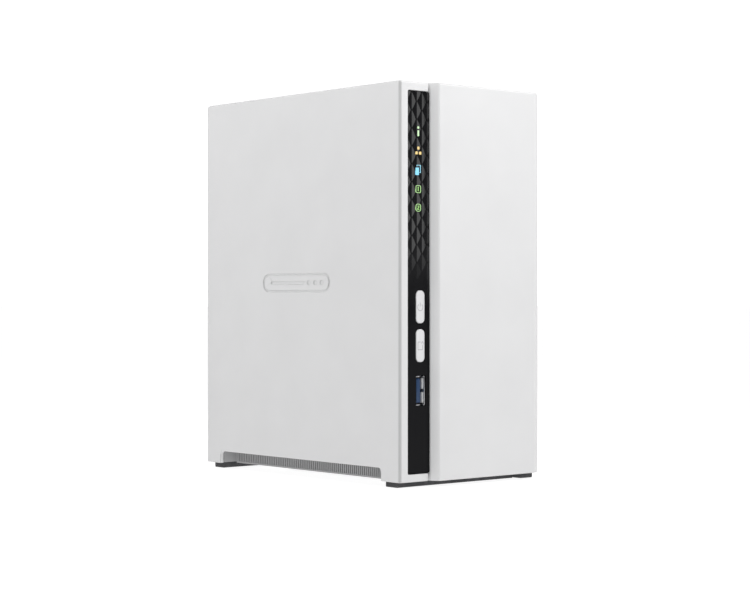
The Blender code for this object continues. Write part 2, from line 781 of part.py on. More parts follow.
def processor_and_heatsink():
    chip = box("processor", (-30.4, 2.0, 100.0), (PART_X, 24.0, 122.0))
    paint(chip, BLACK, 0.4)
    low_y, high_y = -6.0, 32.0
    heatsink = box("heatsink", (-40.0, low_y, 92.0), (-30.7, high_y, 130.0))
    fins, fin = 9, 1.2
    pitch = (high_y - low_y - fin) / (fins - 1)
    slots = []
    for number in range(fins - 1):
        y = low_y + fin + number * pitch
        slots.append(((-42.0, y, 90.0), (-32.4, y + pitch - fin, 132.0)))
    cut(heatsink, boxes_tool("fin_slots", slots))
    paint(heatsink, (0.6, 0.62, 0.65), 0.35, 1.0)


def coin_cell():
    centre_y, centre_z = 21.0, 43.0
    holder = box(
        "coin_cell_holder",
        (-33.5, centre_y - 12.5, centre_z - 12.5),
        (PART_X, centre_y + 12.5, centre_z + 12.5),
    )
    pocket_start = [(-35.0, centre_y, centre_z)]
    cut(holder, cylinders_tool("cell_pocket", pocket_start, "X", 10.4, 5.1, 24))
    paint(holder, BLACK, 0.5)
    profile = [(0, 3.2), (8.6, 3.2), (10.0, 2.6), (10.0, 0), (0, 0)]
    cell = turned("coin_cell", profile, (-30.2, centre_y, centre_z), (-1, 0, 0), 24)
    paint(cell, STEEL, 0.2, 1.0)


def drive_riser():
    """Board under the drives, its edge socket on the mainboard and the two drive sockets."""
    socket_x = (BOARD_RIGHT_X + GAP, -21.0)
    socket = box(
        "riser_connector",
        (socket_x[0], RISER_Y[0] - 1.0, 14.8),
        (socket_x[1], RISER_Y[1] + 1.0, 20.8),
    )
    slot = (
        (socket_x[0] + 2.0, RISER_Y[0] - GAP, RISER_Z[0] - GAP),
        (socket_x[1] + 1.0, RISER_Y[1] + GAP, RISER_Z[1] + GAP),
    )
    cut(socket, boxes_tool("riser_slot", [slot]))
    paint(socket, BLACK, 0.5)
    board = box(
        "drive_riser", (socket_x[0] + 2.4, RISER_Y[0], RISER_Z[0]), (33.0, RISER_Y[1], RISER_Z[1])
    )
    paint(board, BOARD_GREEN, 0.4)
    for number, left in enumerate(DRIVE_LEFT_X, 1):
        low_x, high_x = left + 2.6, left + 8.5
        middle_x = (low_x + high_x) / 2
        plug = box(
            f"sata_connector_{number}",
            (low_x, -28.0, RISER_Z[1] + GAP),
            (high_x, 13.0, DRIVE_BOTTOM_Z - GAP),
        )
        slots = [
            ((middle_x - 0.9, -26.0, 21.7), (middle_x + 0.9, -15.5, 30.0)),
            ((middle_x - 0.9, -13.0, 21.7), (middle_x + 0.9, 11.0, 30.0)),
        ]
        cut(plug, boxes_tool(f"sata_slots_{number}", slots))
        paint(plug, BLACK, 0.5)


# ---------------------------------------------------------------- drives
def drive_cage():
    """Folded steel cage, open at the top and the back, that holds both drives."""
    cage = box(
        "drive_cage",
        (CAGE_X[0], CAGE_Y[0], CAGE_Z[0]),
        (CAGE_X[1], CAGE_Y[1], CAGE_Z[1]),
    )
    hollow = (
        (CAGE_X[0] + CAGE_SHEET, CAGE_Y[0] + CAGE_SHEET, CAGE_Z[0] + CAGE_SHEET),
        (CAGE_X[1] - CAGE_SHEET, CAGE_Y[1] + 20, CAGE_Z[1] + 20),
    )
    front_windows = [
        rounded(low, high, 2.0, 2)
        for low, high in (
            ((-19.0, 64.0), (2.0, 148.0)),
            ((9.5, 64.0), (30.5, 148.0)),
            ((-19.0, 24.0), (2.0, 47.0)),
            ((9.5, 24.0), (30.5, 47.0)),
        )
    ]
    side_windows = [
        rounded(low, high, 3.0, 2)
        for low, high in (
            ((-34.0, 118.0), (28.0, 162.0)),
            ((-50.0, 72.0), (28.0, 110.0)),
            ((-34.0, 34.0), (38.0, 64.0)),
        )
    ]
    cut(cage, boxes_tool("cage_inside", [hollow]))
    cut(cage, outline_tool("front_windows", front_windows, "Y", CAGE_Y[0] - 2, CAGE_Y[0] + 3))
    cut(cage, outline_tool("side_windows", side_windows, "X", CAGE_X[0] - 2, CAGE_X[1] + 2))
    low = (CAGE_X[0] - 1, RISER_Y[0] - 2.0, CAGE_Z[0] - 1)
    riser_way = (low, (-20.5, RISER_Y[1] + 2.0, 24.0))
    floor_window = ((-12.0, -30.0, CAGE_Z[0] - 1), (30.0, 15.0, CAGE_Z[0] + 0.9))
    cut(cage, boxes_tool("riser_way", [riser_way]))
    cut(cage, boxes_tool("floor_window", [floor_window]))
    standoffs = [(BOARD_RIGHT_X + GAP, y, z) for y, z in BOARD_SCREWS]
    length = CAGE_X[0] + 0.5 - (BOARD_RIGHT_X + GAP)
    join(cage, cylinders_tool("standoffs", standoffs, "X", 3.0, length))
    bores = [(BOARD_RIGHT_X - 1, y, z) for y, z in BOARD_SCREWS]
    cut(cage, cylinders_tool("standoff_bores", bores, "X", M3_BORE, 6.0))
    base = [(x, y, CAGE_Z[0] - 2) for x, y in BASE_SCREWS]
    cut(cage, cylinders_tool("base_holes", base, "Z", M3_BORE, 4))
    fronts = [(x, CAGE_Y[0] - 2, z) for x, z in drive_holes()]
    cut(cage, cylinders_tool("drive_screw_holes", fronts, "Y", M3_BORE, 4))
    paint(cage, STEEL, 0.4, 1.0)
    for number, (x, y) in enumerate(BASE_SCREWS, 1):
        screw(f"base_screw_{number}", (x, y, BASE_HEAD_Z - GAP), (0, 0, -1), 9.0)


def drive_holes():
    """(x, z) of the screw holes in the drives' front sides."""
    return [(x + SIDE_HOLE_X, DRIVE_BOTTOM_Z + z) for x in DRIVE_LEFT_X for z in SIDE_HOLE_Z]


def drives():
    """Two 3.5 inch hard drives standing side by side, connectors down."""
    width, depth, height = DRIVE
    low_y, high_y = DRIVE_FRONT_Y, DRIVE_FRONT_Y + depth
    low_z, high_z = DRIVE_BOTTOM_Z, DRIVE_BOTTOM_Z + height
    lid_rise = 0.8
    bores = [(x, low_y - 1, z) for x, z in drive_holes()]
    for number, left in enumerate(DRIVE_LEFT_X, 1):
        body = box(
            f"drive_{number}", (left, low_y, low_z), (left + width - lid_rise, high_y, high_z)
        )
        lid = outline_tool(
            f"drive_lid_{number}",
            [rounded((low_y + 2, low_z + 10), (high_y - 2, high_z - 2), 6.0)],
            "X",
            left + width - 3,
            left + width,
        )
        pocket = (
            (left - 1, low_y + 9.0, low_z + 3.0),
            (left + 2.4, high_y - 8.0, low_z + 73.0),
        )
        join(body, lid)
        cut(body, boxes_tool(f"drive_pocket_{number}", [pocket]))
        cut(body, cylinders_tool(f"drive_bores_{number}", bores, "Y", M3_BORE, 7.0))
        paint(body, (0.55, 0.56, 0.58), 0.4, 1.0)
        board = box(
            f"drive_board_{number}",
            (left + 0.2, low_y + 9.4, low_z + 3.4),
            (left + 2.0, high_y - 8.4, low_z + 72.6),
        )
        paint(board, BOARD_GREEN, 0.4)
    for number, (x, z) in enumerate(drive_holes(), 1):
        screw(f"drive_screw_{number}", (x, CAGE_Y[0] - GAP, z), (0, -1, 0), 7.6)


# ---------------------------------------------------------------- fan
def fan_corners(y):
    half = FAN_HOLE_PITCH / 2
    return [(FAN_X + i * half, y, FAN_Z + k * half) for i in (-1, 1) for k in (-1, 1)]


def fan_frame():
    """Square fan frame with its duct, corner holes, motor seat and four struts."""
    half = FAN_SIZE / 2
    seat_y, seat_length, seat_radius = 70.2, 3.4, 15.0
    frame = box(
        "fan_frame",
        (FAN_X - half, FAN_Y[0], FAN_Z - half),
        (FAN_X + half, FAN_Y[1], FAN_Z + half),
    )
    duct = [(FAN_X, FAN_Y[0] - 2, FAN_Z)]
    cut(frame, cylinders_tool("fan_duct", duct, "Y", FAN_DUCT_RADIUS, 40, 40))
    pockets = boxes_tool(
        "corner_pockets",
        [
            (
                (FAN_X - half - 1, FAN_Y[0] + 4, FAN_Z - half - 1),
                (FAN_X + half + 1, FAN_Y[1] - 4, FAN_Z + half + 1),
            )
        ],
    )
    barrel = cylinders_tool("fan_barrel", duct, "Y", half - 0.2, 40, 40)
    cut(pockets, barrel)
    cut(frame, pockets)
    cut(frame, cylinders_tool("corner_holes", fan_corners(FAN_Y[0] - 2), "Y", 2.2, 40, 12))
    struts = bmesh.new()
    add_cylinder(struts, (FAN_X, seat_y, FAN_Z), "Y", seat_radius, seat_length, 24)
    seat = as_tool(finish_form("motor_seat", struts, collection=TOOLS))
    arms = bmesh.new()
    for turn in range(4):
        before = set(arms.verts)
        add_box(arms, (seat_radius - 2, seat_y, -1.8), (half - 0.8, seat_y + seat_length, 1.8))
        made = [vertex for vertex in arms.verts if vertex not in before]
        angle = math.radians(45 + 90 * turn)
        bmesh.ops.rotate(arms, verts=made, matrix=Matrix.Rotation(angle, 3, "Y"))
    bmesh.ops.translate(arms, verts=arms.verts, vec=(FAN_X, 0, FAN_Z))
    join(seat, as_tool(finish_form("motor_arms", arms, collection=TOOLS)))
    join(frame, seat)
    cut(frame, cylinders_tool("bearing", [(FAN_X, seat_y - 1, FAN_Z)], "Y", 1.8, 3.2))
    paint(frame, BLACK, 0.5)
    for number, corner in enumerate(fan_corners(HEAD_Y), 1):
        screw(f"fan_screw_{number}", corner, (0, 1, 0), 12.0, head_radius=3.0, shank=1.9)


def fan_rotor():
    """Hub with seven twisted blades and its shaft; it turns about the fan's axis."""
    hub_radius, tip_radius, blades = 14.8, 36.6, 7
    root_radius = hub_radius - 1.0
    chord, thickness = 12.0, 1.5
    root_pitch, tip_pitch = math.radians(52), math.radians(28)
    profile = [
        (0, 2.6),
        (1.5, 2.6),
        (1.5, 0.0),
        (hub_radius, 0.0),
        (hub_radius, -16.0),
        (hub_radius - 1.5, -17.8),
        (0, -17.8),
    ]
    origin = Vector((FAN_X, 69.6, FAN_Z))
    rotor = turned("fan_rotor", profile, origin, (0, 1, 0), 28)
    form = bmesh.new()
    span = tip_radius - root_radius
    for number in range(blades):
        made = bmesh.ops.create_grid(form, x_segments=4, y_segments=3, size=0.5)["verts"]
        for vertex in made:
            along = vertex.co.x + 0.5
            across = vertex.co.y * chord
            pitch = root_pitch + (tip_pitch - root_pitch) * along
            camber = 0.9 - 3.6 * vertex.co.y**2
            vertex.co = (
                root_radius + span * along,
                across * math.sin(pitch) + camber * math.cos(pitch),
                across * math.cos(pitch) - camber * math.sin(pitch),
            )
        turn = Matrix.Rotation(2 * math.pi * number / blades, 3, "Y")
        bmesh.ops.rotate(form, verts=made, matrix=turn)
    bmesh.ops.translate(form, verts=form.verts, vec=origin + Vector((0, -9.0, 0)))
    blade_set = as_tool(finish_form("fan_blades", form, collection=TOOLS))
    thicken = blade_set.modifiers.new("thickness", "SOLIDIFY")
    thicken.thickness = thickness * MM
    thicken.offset = 0.0
    join(rotor, blade_set)
    paint(rotor, BLACK, 0.45)


def fan_lead():
    """The fan's short lead and its plug on the mainboard."""
    plug_low, plug_high = (-34.5, 47.0, 82.0), (PART_X, 54.0, 88.0)
    paint(box("fan_plug", plug_low, plug_high, bevel=0.4, segments=1), WHITE, 0.5)
    start, end = Vector((-35.5, 57.0, 97.6)), Vector((-32.0, 50.5, 88.4))
    bend_a, bend_b = start - Vector((0, 0, 6.0)), end + Vector((0, 0, 6.0))
    curve = bpy.data.curves.new("fan_lead", "CURVE")
    curve.dimensions = "3D"
    curve.bevel_depth = 0.9 * MM
    curve.bevel_resolution = 2
    curve.use_fill_caps = True
    spline = curve.splines.new("POLY")
    steps = 9
    spline.points.add(steps)
    for number, point in enumerate(spline.points):
        t = number / steps
        place = (
            start * (1 - t) ** 3
            + bend_a * 3 * t * (1 - t) ** 2
            + bend_b * 3 * t**2 * (1 - t)
            + end * t**3
        )
        point.co = (*(place * MM), 1)
    lead = bpy.data.objects.new("fan_lead", curve)
    PARTS.objects.link(lead)
    material = bpy.data.materials.new("fan_lead")
    material.use_nodes = True
    material.node_tree.nodes["Principled BSDF"].inputs["Base Color"].default_value = (*BLACK, 1)
    curve.materials.append(material)


# ---------------------------------------------------------------- rear ports
def lan_jack():
    jack = box(
        "lan_jack", (LAN_LEFT_X, 55.5, LAN_Z[0]), (PART_X, PORT_OUT_Y, LAN_Z[1])
    )
    cavity = ((-39.8, 63.0, LAN_Z[0] + 2.1), (-31.8, PORT_OUT_Y + 2, LAN_Z[1] - 2.1))
    tab_way = ((-40.7, 63.0, LAN_Z[0] + 6.0), (-39.7, PORT_OUT_Y + 2, LAN_Z[1] - 6.0))
    cut(jack, boxes_tool("jack_cavity", [cavity]), boxes_tool("jack_tab_way", [tab_way]))
    paint(jack, STEEL, 0.3, 1.0)


def power_inlet():
    """Round low-voltage inlet with its centre pin."""
    centre_x, bore, pin, depth = (INLET_LEFT_X + PART_X) / 2, 3.1, 1.0, 9.0
    low = (INLET_LEFT_X, INLET_INNER_Y, INLET_Z - INLET_HALF)
    inlet = box("power_inlet", low, (PART_X, PORT_OUT_Y, INLET_Z + INLET_HALF))
    ring = [circle(centre_x, INLET_Z, bore, 24), circle(centre_x, INLET_Z, pin, 12)]
    tool = outline_tool("inlet_ring", ring, "Y", PORT_OUT_Y - depth, PORT_OUT_Y + 2)
    cut(inlet, tool)
    paint(inlet, BLACK, 0.4)


def reset():
    """Recessed reset button and the switch behind it."""
    tip_y = PANEL_OUT_Y - 0.4
    low = (SWITCH_LEFT_X, 58.0, RESET_Z - SWITCH_HALF)
    housing = box("reset_switch", low, (PART_X, 65.0, RESET_Z + SWITCH_HALF))
    cut(housing, cylinders_tool("reset_bore", [(RESET_X, 61, RESET_Z)], "Y", 1.9, 6))
    paint(housing, BLACK, 0.5)
    flange_y = 73.2
    profile = [
        (0, 0),
        (1.2, 0),
        (1.5, -0.3),
        (1.5, flange_y - tip_y),
        (2.4, flange_y - tip_y),
        (2.4, flange_y - tip_y - 1.2),
        (1.5, flange_y - tip_y - 1.2),
        (1.5, 63.0 - tip_y),
        (0, 63.0 - tip_y),
    ]
    knob = turned("reset_button", profile, (RESET_X, tip_y, RESET_Z), (0, 1, 0), 16)
    paint(knob, BLACK, 0.4)


def main():
    left_cover()
    right_cover()
    indicator_strip()
    base_tray()
    rear_panel()
    feet()
    button("power_button", POWER_Z)
    button("copy_button", COPY_Z)
    push_switch("power_switch", POWER_Z)
    push_switch("copy_switch", COPY_Z)
    light_guide()
    usb_port(
        "front_usb", FRONT_USB_Z, FRONT_USB_LENGTH, STRIP_Y + GAP, FRONT_USB_BACK_Y, USB_BLUE
    )
    mainboard()
    processor_and_heatsink()
    coin_cell()
    drive_riser()
    drive_cage()
    drives()
    fan_frame()
    fan_rotor()
    fan_lead()
    lan_jack()
    for number, z in enumerate(REAR_USB_Z, 1):
        name = f"rear_usb_{number}"
        usb_port(name, z, REAR_USB_LENGTH, PORT_OUT_Y, REAR_USB_INNER_Y, BLACK)
    power_inlet()
    reset()
    for number, (x, z) in enumerate(COVER_SCREWS, 1):
        screw(f"cover_screw_{number}", (x, HEAD_Y, z), (0, 1, 0), 8.5)


main()
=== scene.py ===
"""Looks of a two-bay network attached storage tower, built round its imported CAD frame.

Lengths in this file are in millimetres, in the frame's own axes: +X right, +Y back, +Z up.
MM turns them into metres where a mesh, a light or a camera is made.
"""

import json
import math

import bmesh
import bpy
from mathutils import Matrix, Vector


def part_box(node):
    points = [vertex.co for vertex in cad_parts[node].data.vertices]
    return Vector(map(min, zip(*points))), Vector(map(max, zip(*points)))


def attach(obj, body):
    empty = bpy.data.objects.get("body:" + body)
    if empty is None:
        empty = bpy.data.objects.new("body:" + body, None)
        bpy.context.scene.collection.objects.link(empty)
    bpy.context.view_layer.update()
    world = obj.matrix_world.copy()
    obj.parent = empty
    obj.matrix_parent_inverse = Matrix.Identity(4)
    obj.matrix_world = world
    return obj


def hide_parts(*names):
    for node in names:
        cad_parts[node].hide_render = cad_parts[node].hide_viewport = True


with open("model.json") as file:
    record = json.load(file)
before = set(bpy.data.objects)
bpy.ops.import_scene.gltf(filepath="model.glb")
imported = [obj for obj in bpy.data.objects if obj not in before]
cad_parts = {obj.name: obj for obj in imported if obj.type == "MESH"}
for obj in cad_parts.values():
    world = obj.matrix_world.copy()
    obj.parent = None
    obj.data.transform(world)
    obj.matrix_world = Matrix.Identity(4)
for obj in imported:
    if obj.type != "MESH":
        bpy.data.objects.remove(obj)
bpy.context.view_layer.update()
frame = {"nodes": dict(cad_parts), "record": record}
NODES = frame["nodes"]
BODIES = frame["record"]["behaviour"]["bodies"]
MM = 0.001


def corners(node):
    """Lowest and highest corner of a CAD node, in millimetres."""
    low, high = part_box(node)
    return low / MM, high / MM


def middle(low, high):
    return (Vector(low) + Vector(high)) / 2


def rides_on(node):
    """The body that a CAD node moves with."""
    return next(body for body, members in BODIES.items() if node in members)


# ================================================================ shapes
SHARP = 32  # degrees: an edge that turns more than this is drawn sharp


def add_box(form, low, high, round_by=0.0, segments=2):
    """Add a box between two corners, its edges rounded if asked."""
    low, high = Vector(low), Vector(high)
    made = bmesh.ops.create_cube(form, size=1.0)["verts"]
    bmesh.ops.scale(form, verts=made, vec=high - low)
    bmesh.ops.translate(form, verts=made, vec=(low + high) / 2)
    if round_by:
        edges = list(dict.fromkeys(edge for vertex in made for edge in vertex.link_edges))
        bmesh.ops.bevel(
            form, geom=edges, offset=round_by, segments=segments, profile=0.5, affect="EDGES"
        )


def turn_to(direction):
    return Vector(direction).to_track_quat("Z", "Y").to_matrix()


def add_ring(form, origin, matrix, radius, height, sides):
    """Add a circle of vertices round a turned Z axis, at a height along it."""
    ring = []
    for step in range(sides):
        angle = 2 * math.pi * step / sides
        point = Vector((radius * math.cos(angle), radius * math.sin(angle), height))
        ring.append(form.verts.new(origin + matrix @ point))
    return ring


def add_turned(form, profile, origin, direction, sides):
    """Add a closed turned shape from (radius, height) points, top to foot."""
    matrix = turn_to(direction)
    rings = [
        add_ring(form, Vector(origin), matrix, radius, height, sides if radius > 0 else 1)
        for radius, height in profile
    ]
    for above, below in zip(rings, rings[1:]):
        for step in range(sides):
            after = (step + 1) % sides
            if len(above) == 1:
                form.faces.new((above[0], below[step], below[after]))
            elif len(below) == 1:
                form.faces.new((above[step], below[0], above[after]))
            else:
                form.faces.new((above[step], below[step], below[after], above[after]))


def add_cylinder(form, start, direction, radius, length, sides, ease=0.0):
    """Add a cylinder from start along direction, its two rims chamfered if asked."""
    profile = [(0, length), (radius, length), (radius, 0), (0, 0)]
    if ease:
        rims = [(radius - ease, length), (radius, length - ease), (radius, ease), (radius - ease, 0)]
        profile[1:3] = rims
    add_turned(form, profile, start, direction, sides)


def arc(centre_u, centre_v, radius, start, end, steps):
    """Points on an arc, from angle start to angle end in degrees."""
    angles = [math.radians(start + (end - start) * i / steps) for i in range(steps + 1)]
    return [(centre_u + radius * math.cos(a), centre_v + radius * math.sin(a)) for a in angles]


def rounded(low, high, radius):
    """Outline of a rectangle with round corners."""
    corner_steps = 6
    (u0, v0), (u1, v1) = low, high
    points = []
    for u, v, start in (
        (u1 - radius, v0 + radius, -90),
        (u1 - radius, v1 - radius, 0),
        (u0 + radius, v1 - radius, 90),
        (u0 + radius, v0 + radius, 180),
    ):
        points += arc(u, v, radius, start, start + 90, corner_steps)
    return points


# Where an outline's (u, v) and its depth w land, for each direction it can be extruded along.
PLACE = {
    "X": lambda u, v, w: Vector((w, u, v)),
    "Y": lambda u, v, w: Vector((u, w, v)),
    "Z": lambda u, v, w: Vector((u, v, w)),
}


def add_prism(form, outline, axis, low, high):
    """Add an outline extruded along an axis from low to high."""
    near = [form.verts.new(PLACE[axis](u, v, low)) for u, v in outline]
    far = [form.verts.new(PLACE[axis](u, v, high)) for u, v in outline]
    form.faces.new(near)
    form.faces.new(far[::-1])
    for i, vertex in enumerate(near):
        j = (i + 1) % len(near)
        form.faces.new((vertex, far[i], far[j], near[j]))


def join_rows(form, rows, closed=False):
    """Add the faces between closed rows of vertices, and the two end faces of an open run."""
    for one, two in zip(rows, rows[1:] + rows[:1] if closed else rows[1:]):
        for k, vertex in enumerate(one):
            m = (k + 1) % len(one)
            form.faces.new((vertex, one[m], two[m], two[k]))
    if not closed:
        form.faces.new(rows[0][::-1])
        form.faces.new(rows[-1])


def add_ribbon(form, points, width, axis, low, high, closed=False):
    """Add a flat line of the given width along points in the plane across axis."""
    count = len(points)
    rows = []
    for i, (u, v) in enumerate(points):
        before = points[i - 1] if closed or i else None
        after = points[(i + 1) % count] if closed or i < count - 1 else None
        steps = []
        if before is not None:
            steps.append(Vector((u - before[0], v - before[1])).normalized())
        if after is not None:
            steps.append(Vector((after[0] - u, after[1] - v)).normalized())
        along = sum(steps, Vector((0, 0))).normalized()
        stretch = 1 / max(0.4, along.dot(steps[0]))
        side = Vector((-along.y, along.x)) * width / 2 * stretch
        rows.append(
            [
                form.verts.new(PLACE[axis](u + sign * side.x, v + sign * side.y, w))
                for sign, w in ((1, low), (-1, low), (-1, high), (1, high))
            ]
        )
    join_rows(form, rows, closed)


def add_tube(form, points, radius, sides=10):
    """Add a round wire along points in space."""
    points = [Vector(p) for p in points]
    rings = []
    for i, point in enumerate(points):
        ahead = points[min(i + 1, len(points) - 1)] - points[max(i - 1, 0)]
        rings.append(add_ring(form, point, turn_to(ahead), radius, 0, sides))
    join_rows(form, rings)


def bezier(start, lean_start, lean_end, end, steps):
    """Points along a cubic curve."""
    ends = [Vector(p) for p in (start, lean_start, lean_end, end)]
    points = []
    for i in range(steps + 1):
        t = i / steps
        weights = ((1 - t) ** 3, 3 * t * (1 - t) ** 2, 3 * t * t * (1 - t), t**3)
        points.append(sum((p * w for p, w in zip(ends, weights)), Vector()))
    return points


def smooth(mesh, angle):
    mesh.shade_smooth()
    mesh.set_sharp_from_angle(angle=math.radians(angle))


def to_object(name, form):
    """Turn a bmesh drawn in millimetres into an object in the scene."""
    bmesh.ops.scale(form, verts=form.verts, vec=(MM, MM, MM))
    mesh = bpy.data.meshes.new(name)
    form.to_mesh(mesh)
    form.free()
    thing = bpy.data.objects.new(name, mesh)
    bpy.context.scene.collection.objects.link(thing)
    return thing


def solid(name, form):
    """Turn a closed bmesh into an object whose faces look outwards."""
    bmesh.ops.recalc_face_normals(form, faces=form.faces[:])
    return to_object(name, form)


def make(name, form, material, slot, body="chassis", replaces=(), angle=SHARP):
    """Turn a bmesh into a piece that rides on a body."""
    piece = solid(name, form)
    smooth(piece.data, angle)
    piece.data.materials.append(material)
    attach(piece, body)
    if replaces:
        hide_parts(*replaces)
    return piece


def discard(thing):
    """Remove an object and its mesh."""
    mesh = thing.data
    bpy.data.objects.remove(thing)
    bpy.data.meshes.remove(mesh)


def shape_by(piece, form, operation, angle=SHARP):
    """Cut, join or trim a piece with a bmesh now, so that only the result stays."""
    tool = solid(piece.name + "_tool", form)
    change = piece.modifiers.new("shape", "BOOLEAN")
    change.operation = operation
    change.solver = "EXACT"
    change.object = tool
    graph = bpy.context.evaluated_depsgraph_get()
    mesh = bpy.data.meshes.new_from_object(piece.evaluated_get(graph))
    piece.modifiers.clear()
    old = piece.data
    piece.data = mesh
    mesh.name = old.name
    bpy.data.meshes.remove(old)
    discard(tool)
    smooth(mesh, angle)


# ================================================================ materials
def feed(tree, node, values):
    """Give inputs of a node a number, a colour as a tuple, or another node's output."""
    for key, value in values.items():
        if isinstance(value, bpy.types.NodeSocket):
            tree.links.new(value, node.inputs[key])
        else:
            node.inputs[key].default_value = (*value, 1) if isinstance(value, tuple) else value


def add_node(tree, kind, values):
    node = tree.nodes.new("ShaderNode" + kind)
    feed(tree, node, values)
    return node


def new_material(name):
    """An empty Principled material, and its tree."""
    material = bpy.data.materials.new(name)
    material.use_nodes = True
    return material, material.node_tree


def finished(material, values):
    """Give a material's shader its inputs, and hand the material back."""
    tree = material.node_tree
    feed(tree, tree.nodes["Principled BSDF"], values)
    return material


def coordinates(tree, stretch=(1, 1, 1)):
    """Object coordinates in millimetres, stretched along each axis."""
    source = tree.nodes.new("ShaderNodeTexCoord").outputs["Object"]
    mapping = add_node(tree, "Mapping", {"Vector": source, "Scale": [s / MM for s in stretch]})
    return mapping.outputs["Vector"]


def axes(tree, vector):
    """The X, Y and Z of a vector."""
    return add_node(tree, "SeparateXYZ", {"Vector": vector}).outputs


def maths(tree, operation, *values):
    """A sum of one or two values, each a number or an output."""
    node = add_node(tree, "Math", dict(enumerate(values)))
    node.operation = operation
    return node.outputs["Value"]


def noise(tree, vector, feature, detail=2.0):
    """Noise whose features measure about `feature` millimetres."""
    values = {"Vector": vector, "Scale": 1.0 / feature, "Detail": detail}
    return add_node(tree, "TexNoise", values).outputs["Fac"]


def cells(tree, vector, size, metric="EUCLIDEAN"):
    """Random cells of the given size: two random values for each, and the distance to its middle."""
    node = add_node(tree, "TexVoronoi", {"Vector": vector, "Scale": 1.0 / size})
    node.distance = metric
    parts = add_node(tree, "SeparateColor", {"Color": node.outputs["Color"]})
    return parts.outputs["Red"], parts.outputs["Green"], node.outputs["Distance"]


def bands(tree, vector, direction, period):
    """Parallel lines across a direction, 1 on a line and 0 between lines."""
    node = add_node(tree, "TexWave", {"Vector": vector, "Scale": math.pi / 10 / period})
    node.bands_direction = direction
    return maths(tree, "GREATER_THAN", node.outputs["Fac"], 0.62)


def spread(tree, value, low, high):
    """Map noise, which mostly lies between 0.25 and 0.75, onto low to high."""
    values = {"Value": value, "From Min": 0.25, "From Max": 0.75, "To Min": low, "To Max": high}
    return add_node(tree, "MapRange", values).outputs["Result"]


def scaled(colour, factor):
    return tuple(c * factor for c in colour)


def mix(tree, value, first, second):
    """Colour between two colours by a 0 to 1 value; each may be a colour or an output."""
    node = tree.nodes.new("ShaderNodeMix")
    node.data_type = "RGBA"
    feed(tree, node, {0: value, 6: first, 7: second})
    return node.outputs[2]


def bump(tree, height, depth):
    """Normal of a bump of the given depth in millimetres."""
    return add_node(tree, "Bump", {"Height": height, "Distance": depth * MM}).outputs["Normal"]


# Painted shade darkens the case's upright left corners, only beyond CORNER_X.
CORNER_X = -38.0  # the left corners of the case lie beyond this
GLOSS_Z, GLOSS_RISE = 84.0, 24.0  # where the front strip starts to turn glossy, and over what height


def painted_corner_shade(tree, vector):
    """Painted shade mask: one on the upright left corners of the case, falling to nothing on its flat
    sides.
    """
    facing = axes(tree, tree.nodes.new("ShaderNodeNewGeometry").outputs["Normal"])
    turned = maths(tree, "ABSOLUTE", maths(tree, "MULTIPLY", facing["X"], facing["Y"]))
    outside = maths(tree, "LESS_THAN", axes(tree, vector)["X"], CORNER_X)
    strength = maths(tree, "MULTIPLY", maths(tree, "MULTIPLY", turned, 2.2), outside)
    return maths(tree, "MINIMUM", strength, 1.0)


def moulded(name, colour, roughness, grain=0.35, depth=0.006, corner_shade=False):
    """Moulded plastic: fine spark texture, slightly uneven gloss and colour, and faint rub marks.

    With corner shade on, painted shade darkens its upright left corners.
    """
    material, tree = new_material(name)
    vector = coordinates(tree)
    lighter = tuple(min(1.0, c * 1.012) for c in colour)
    cloud = spread(tree, noise(tree, vector, 22.0, 3.0), 0.0, 1.0)
    tone = mix(tree, cloud, scaled(colour, 0.976), lighter)
    # Painted shade: the upright left corners are mixed towards 0.68 of the colour.
    if corner_shade:
        tone = mix(tree, painted_corner_shade(tree, vector), tone, scaled(colour, 0.68))
    patch = spread(tree, noise(tree, vector, 9.0, 4.0), -0.04, 0.04)
    rubbed = maths(tree, "GREATER_THAN", noise(tree, vector, 2.5, 6.0), 0.68)
    gloss = maths(tree, "ADD", patch, roughness)
    gloss = maths(tree, "SUBTRACT", gloss, maths(tree, "MULTIPLY", rubbed, roughness * 0.12))
    skin = bump(tree, noise(tree, vector, grain, 3.0), depth)
    return finished(material, {"Base Color": tone, "Roughness": gloss, "Normal": skin})


def smoked(name, colour):
    """Dark glossy plastic above, satin and less shiny below the relief."""
    material, tree = new_material(name)
    vector = coordinates(tree)
    height = maths(tree, "SUBTRACT", axes(tree, vector)["Z"], GLOSS_Z)
    height = maths(tree, "DIVIDE", height, GLOSS_RISE)
    height = maths(tree, "MINIMUM", maths(tree, "MAXIMUM", height, 0.0), 1.0)
    values = {
        "Base Color": colour,
        "Specular IOR Level": maths(tree, "ADD", maths(tree, "MULTIPLY", height, 0.42), 0.08),
        "Roughness": spread(tree, noise(tree, vector, 7.0, 4.0), 0.11, 0.15),
        "Normal": bump(tree, noise(tree, vector, 0.6, 3.0), 0.0006),
    }
    return finished(material, values)


def rubbery(name, colour):
    """Matt rubber with a coarse skin and pale scuffs."""
    material, tree = new_material(name)
    vector = coordinates(tree)
    scuff = spread(tree, noise(tree, vector, 3.0, 6.0), -0.6, 1.0)
    tone = mix(tree, scuff, colour, tuple(c * 1.5 + 0.01 for c in colour))
    skin = bump(tree, noise(tree, vector, 0.5, 4.0), 0.03)
    return finished(material, {"Base Color": tone, "Roughness": 0.75, "Normal": skin})


def brushed(name, colour, roughness, stretch=(1, 1, 1), scratches=0.08):
    """Metal with fine parallel brushing; a small stretch lengthens it along that axis."""
    material, tree = new_material(name)
    lines = noise(tree, coordinates(tree, stretch), 0.25, 4.0)
    values = {
        "Base Color": mix(tree, lines, scaled(colour, 0.86), colour),
        "Roughness": spread(tree, lines, roughness - scratches, roughness + scratches),
        "Metallic": 1.0,
        "Normal": bump(tree, lines, 0.004),
    }
    return finished(material, values)


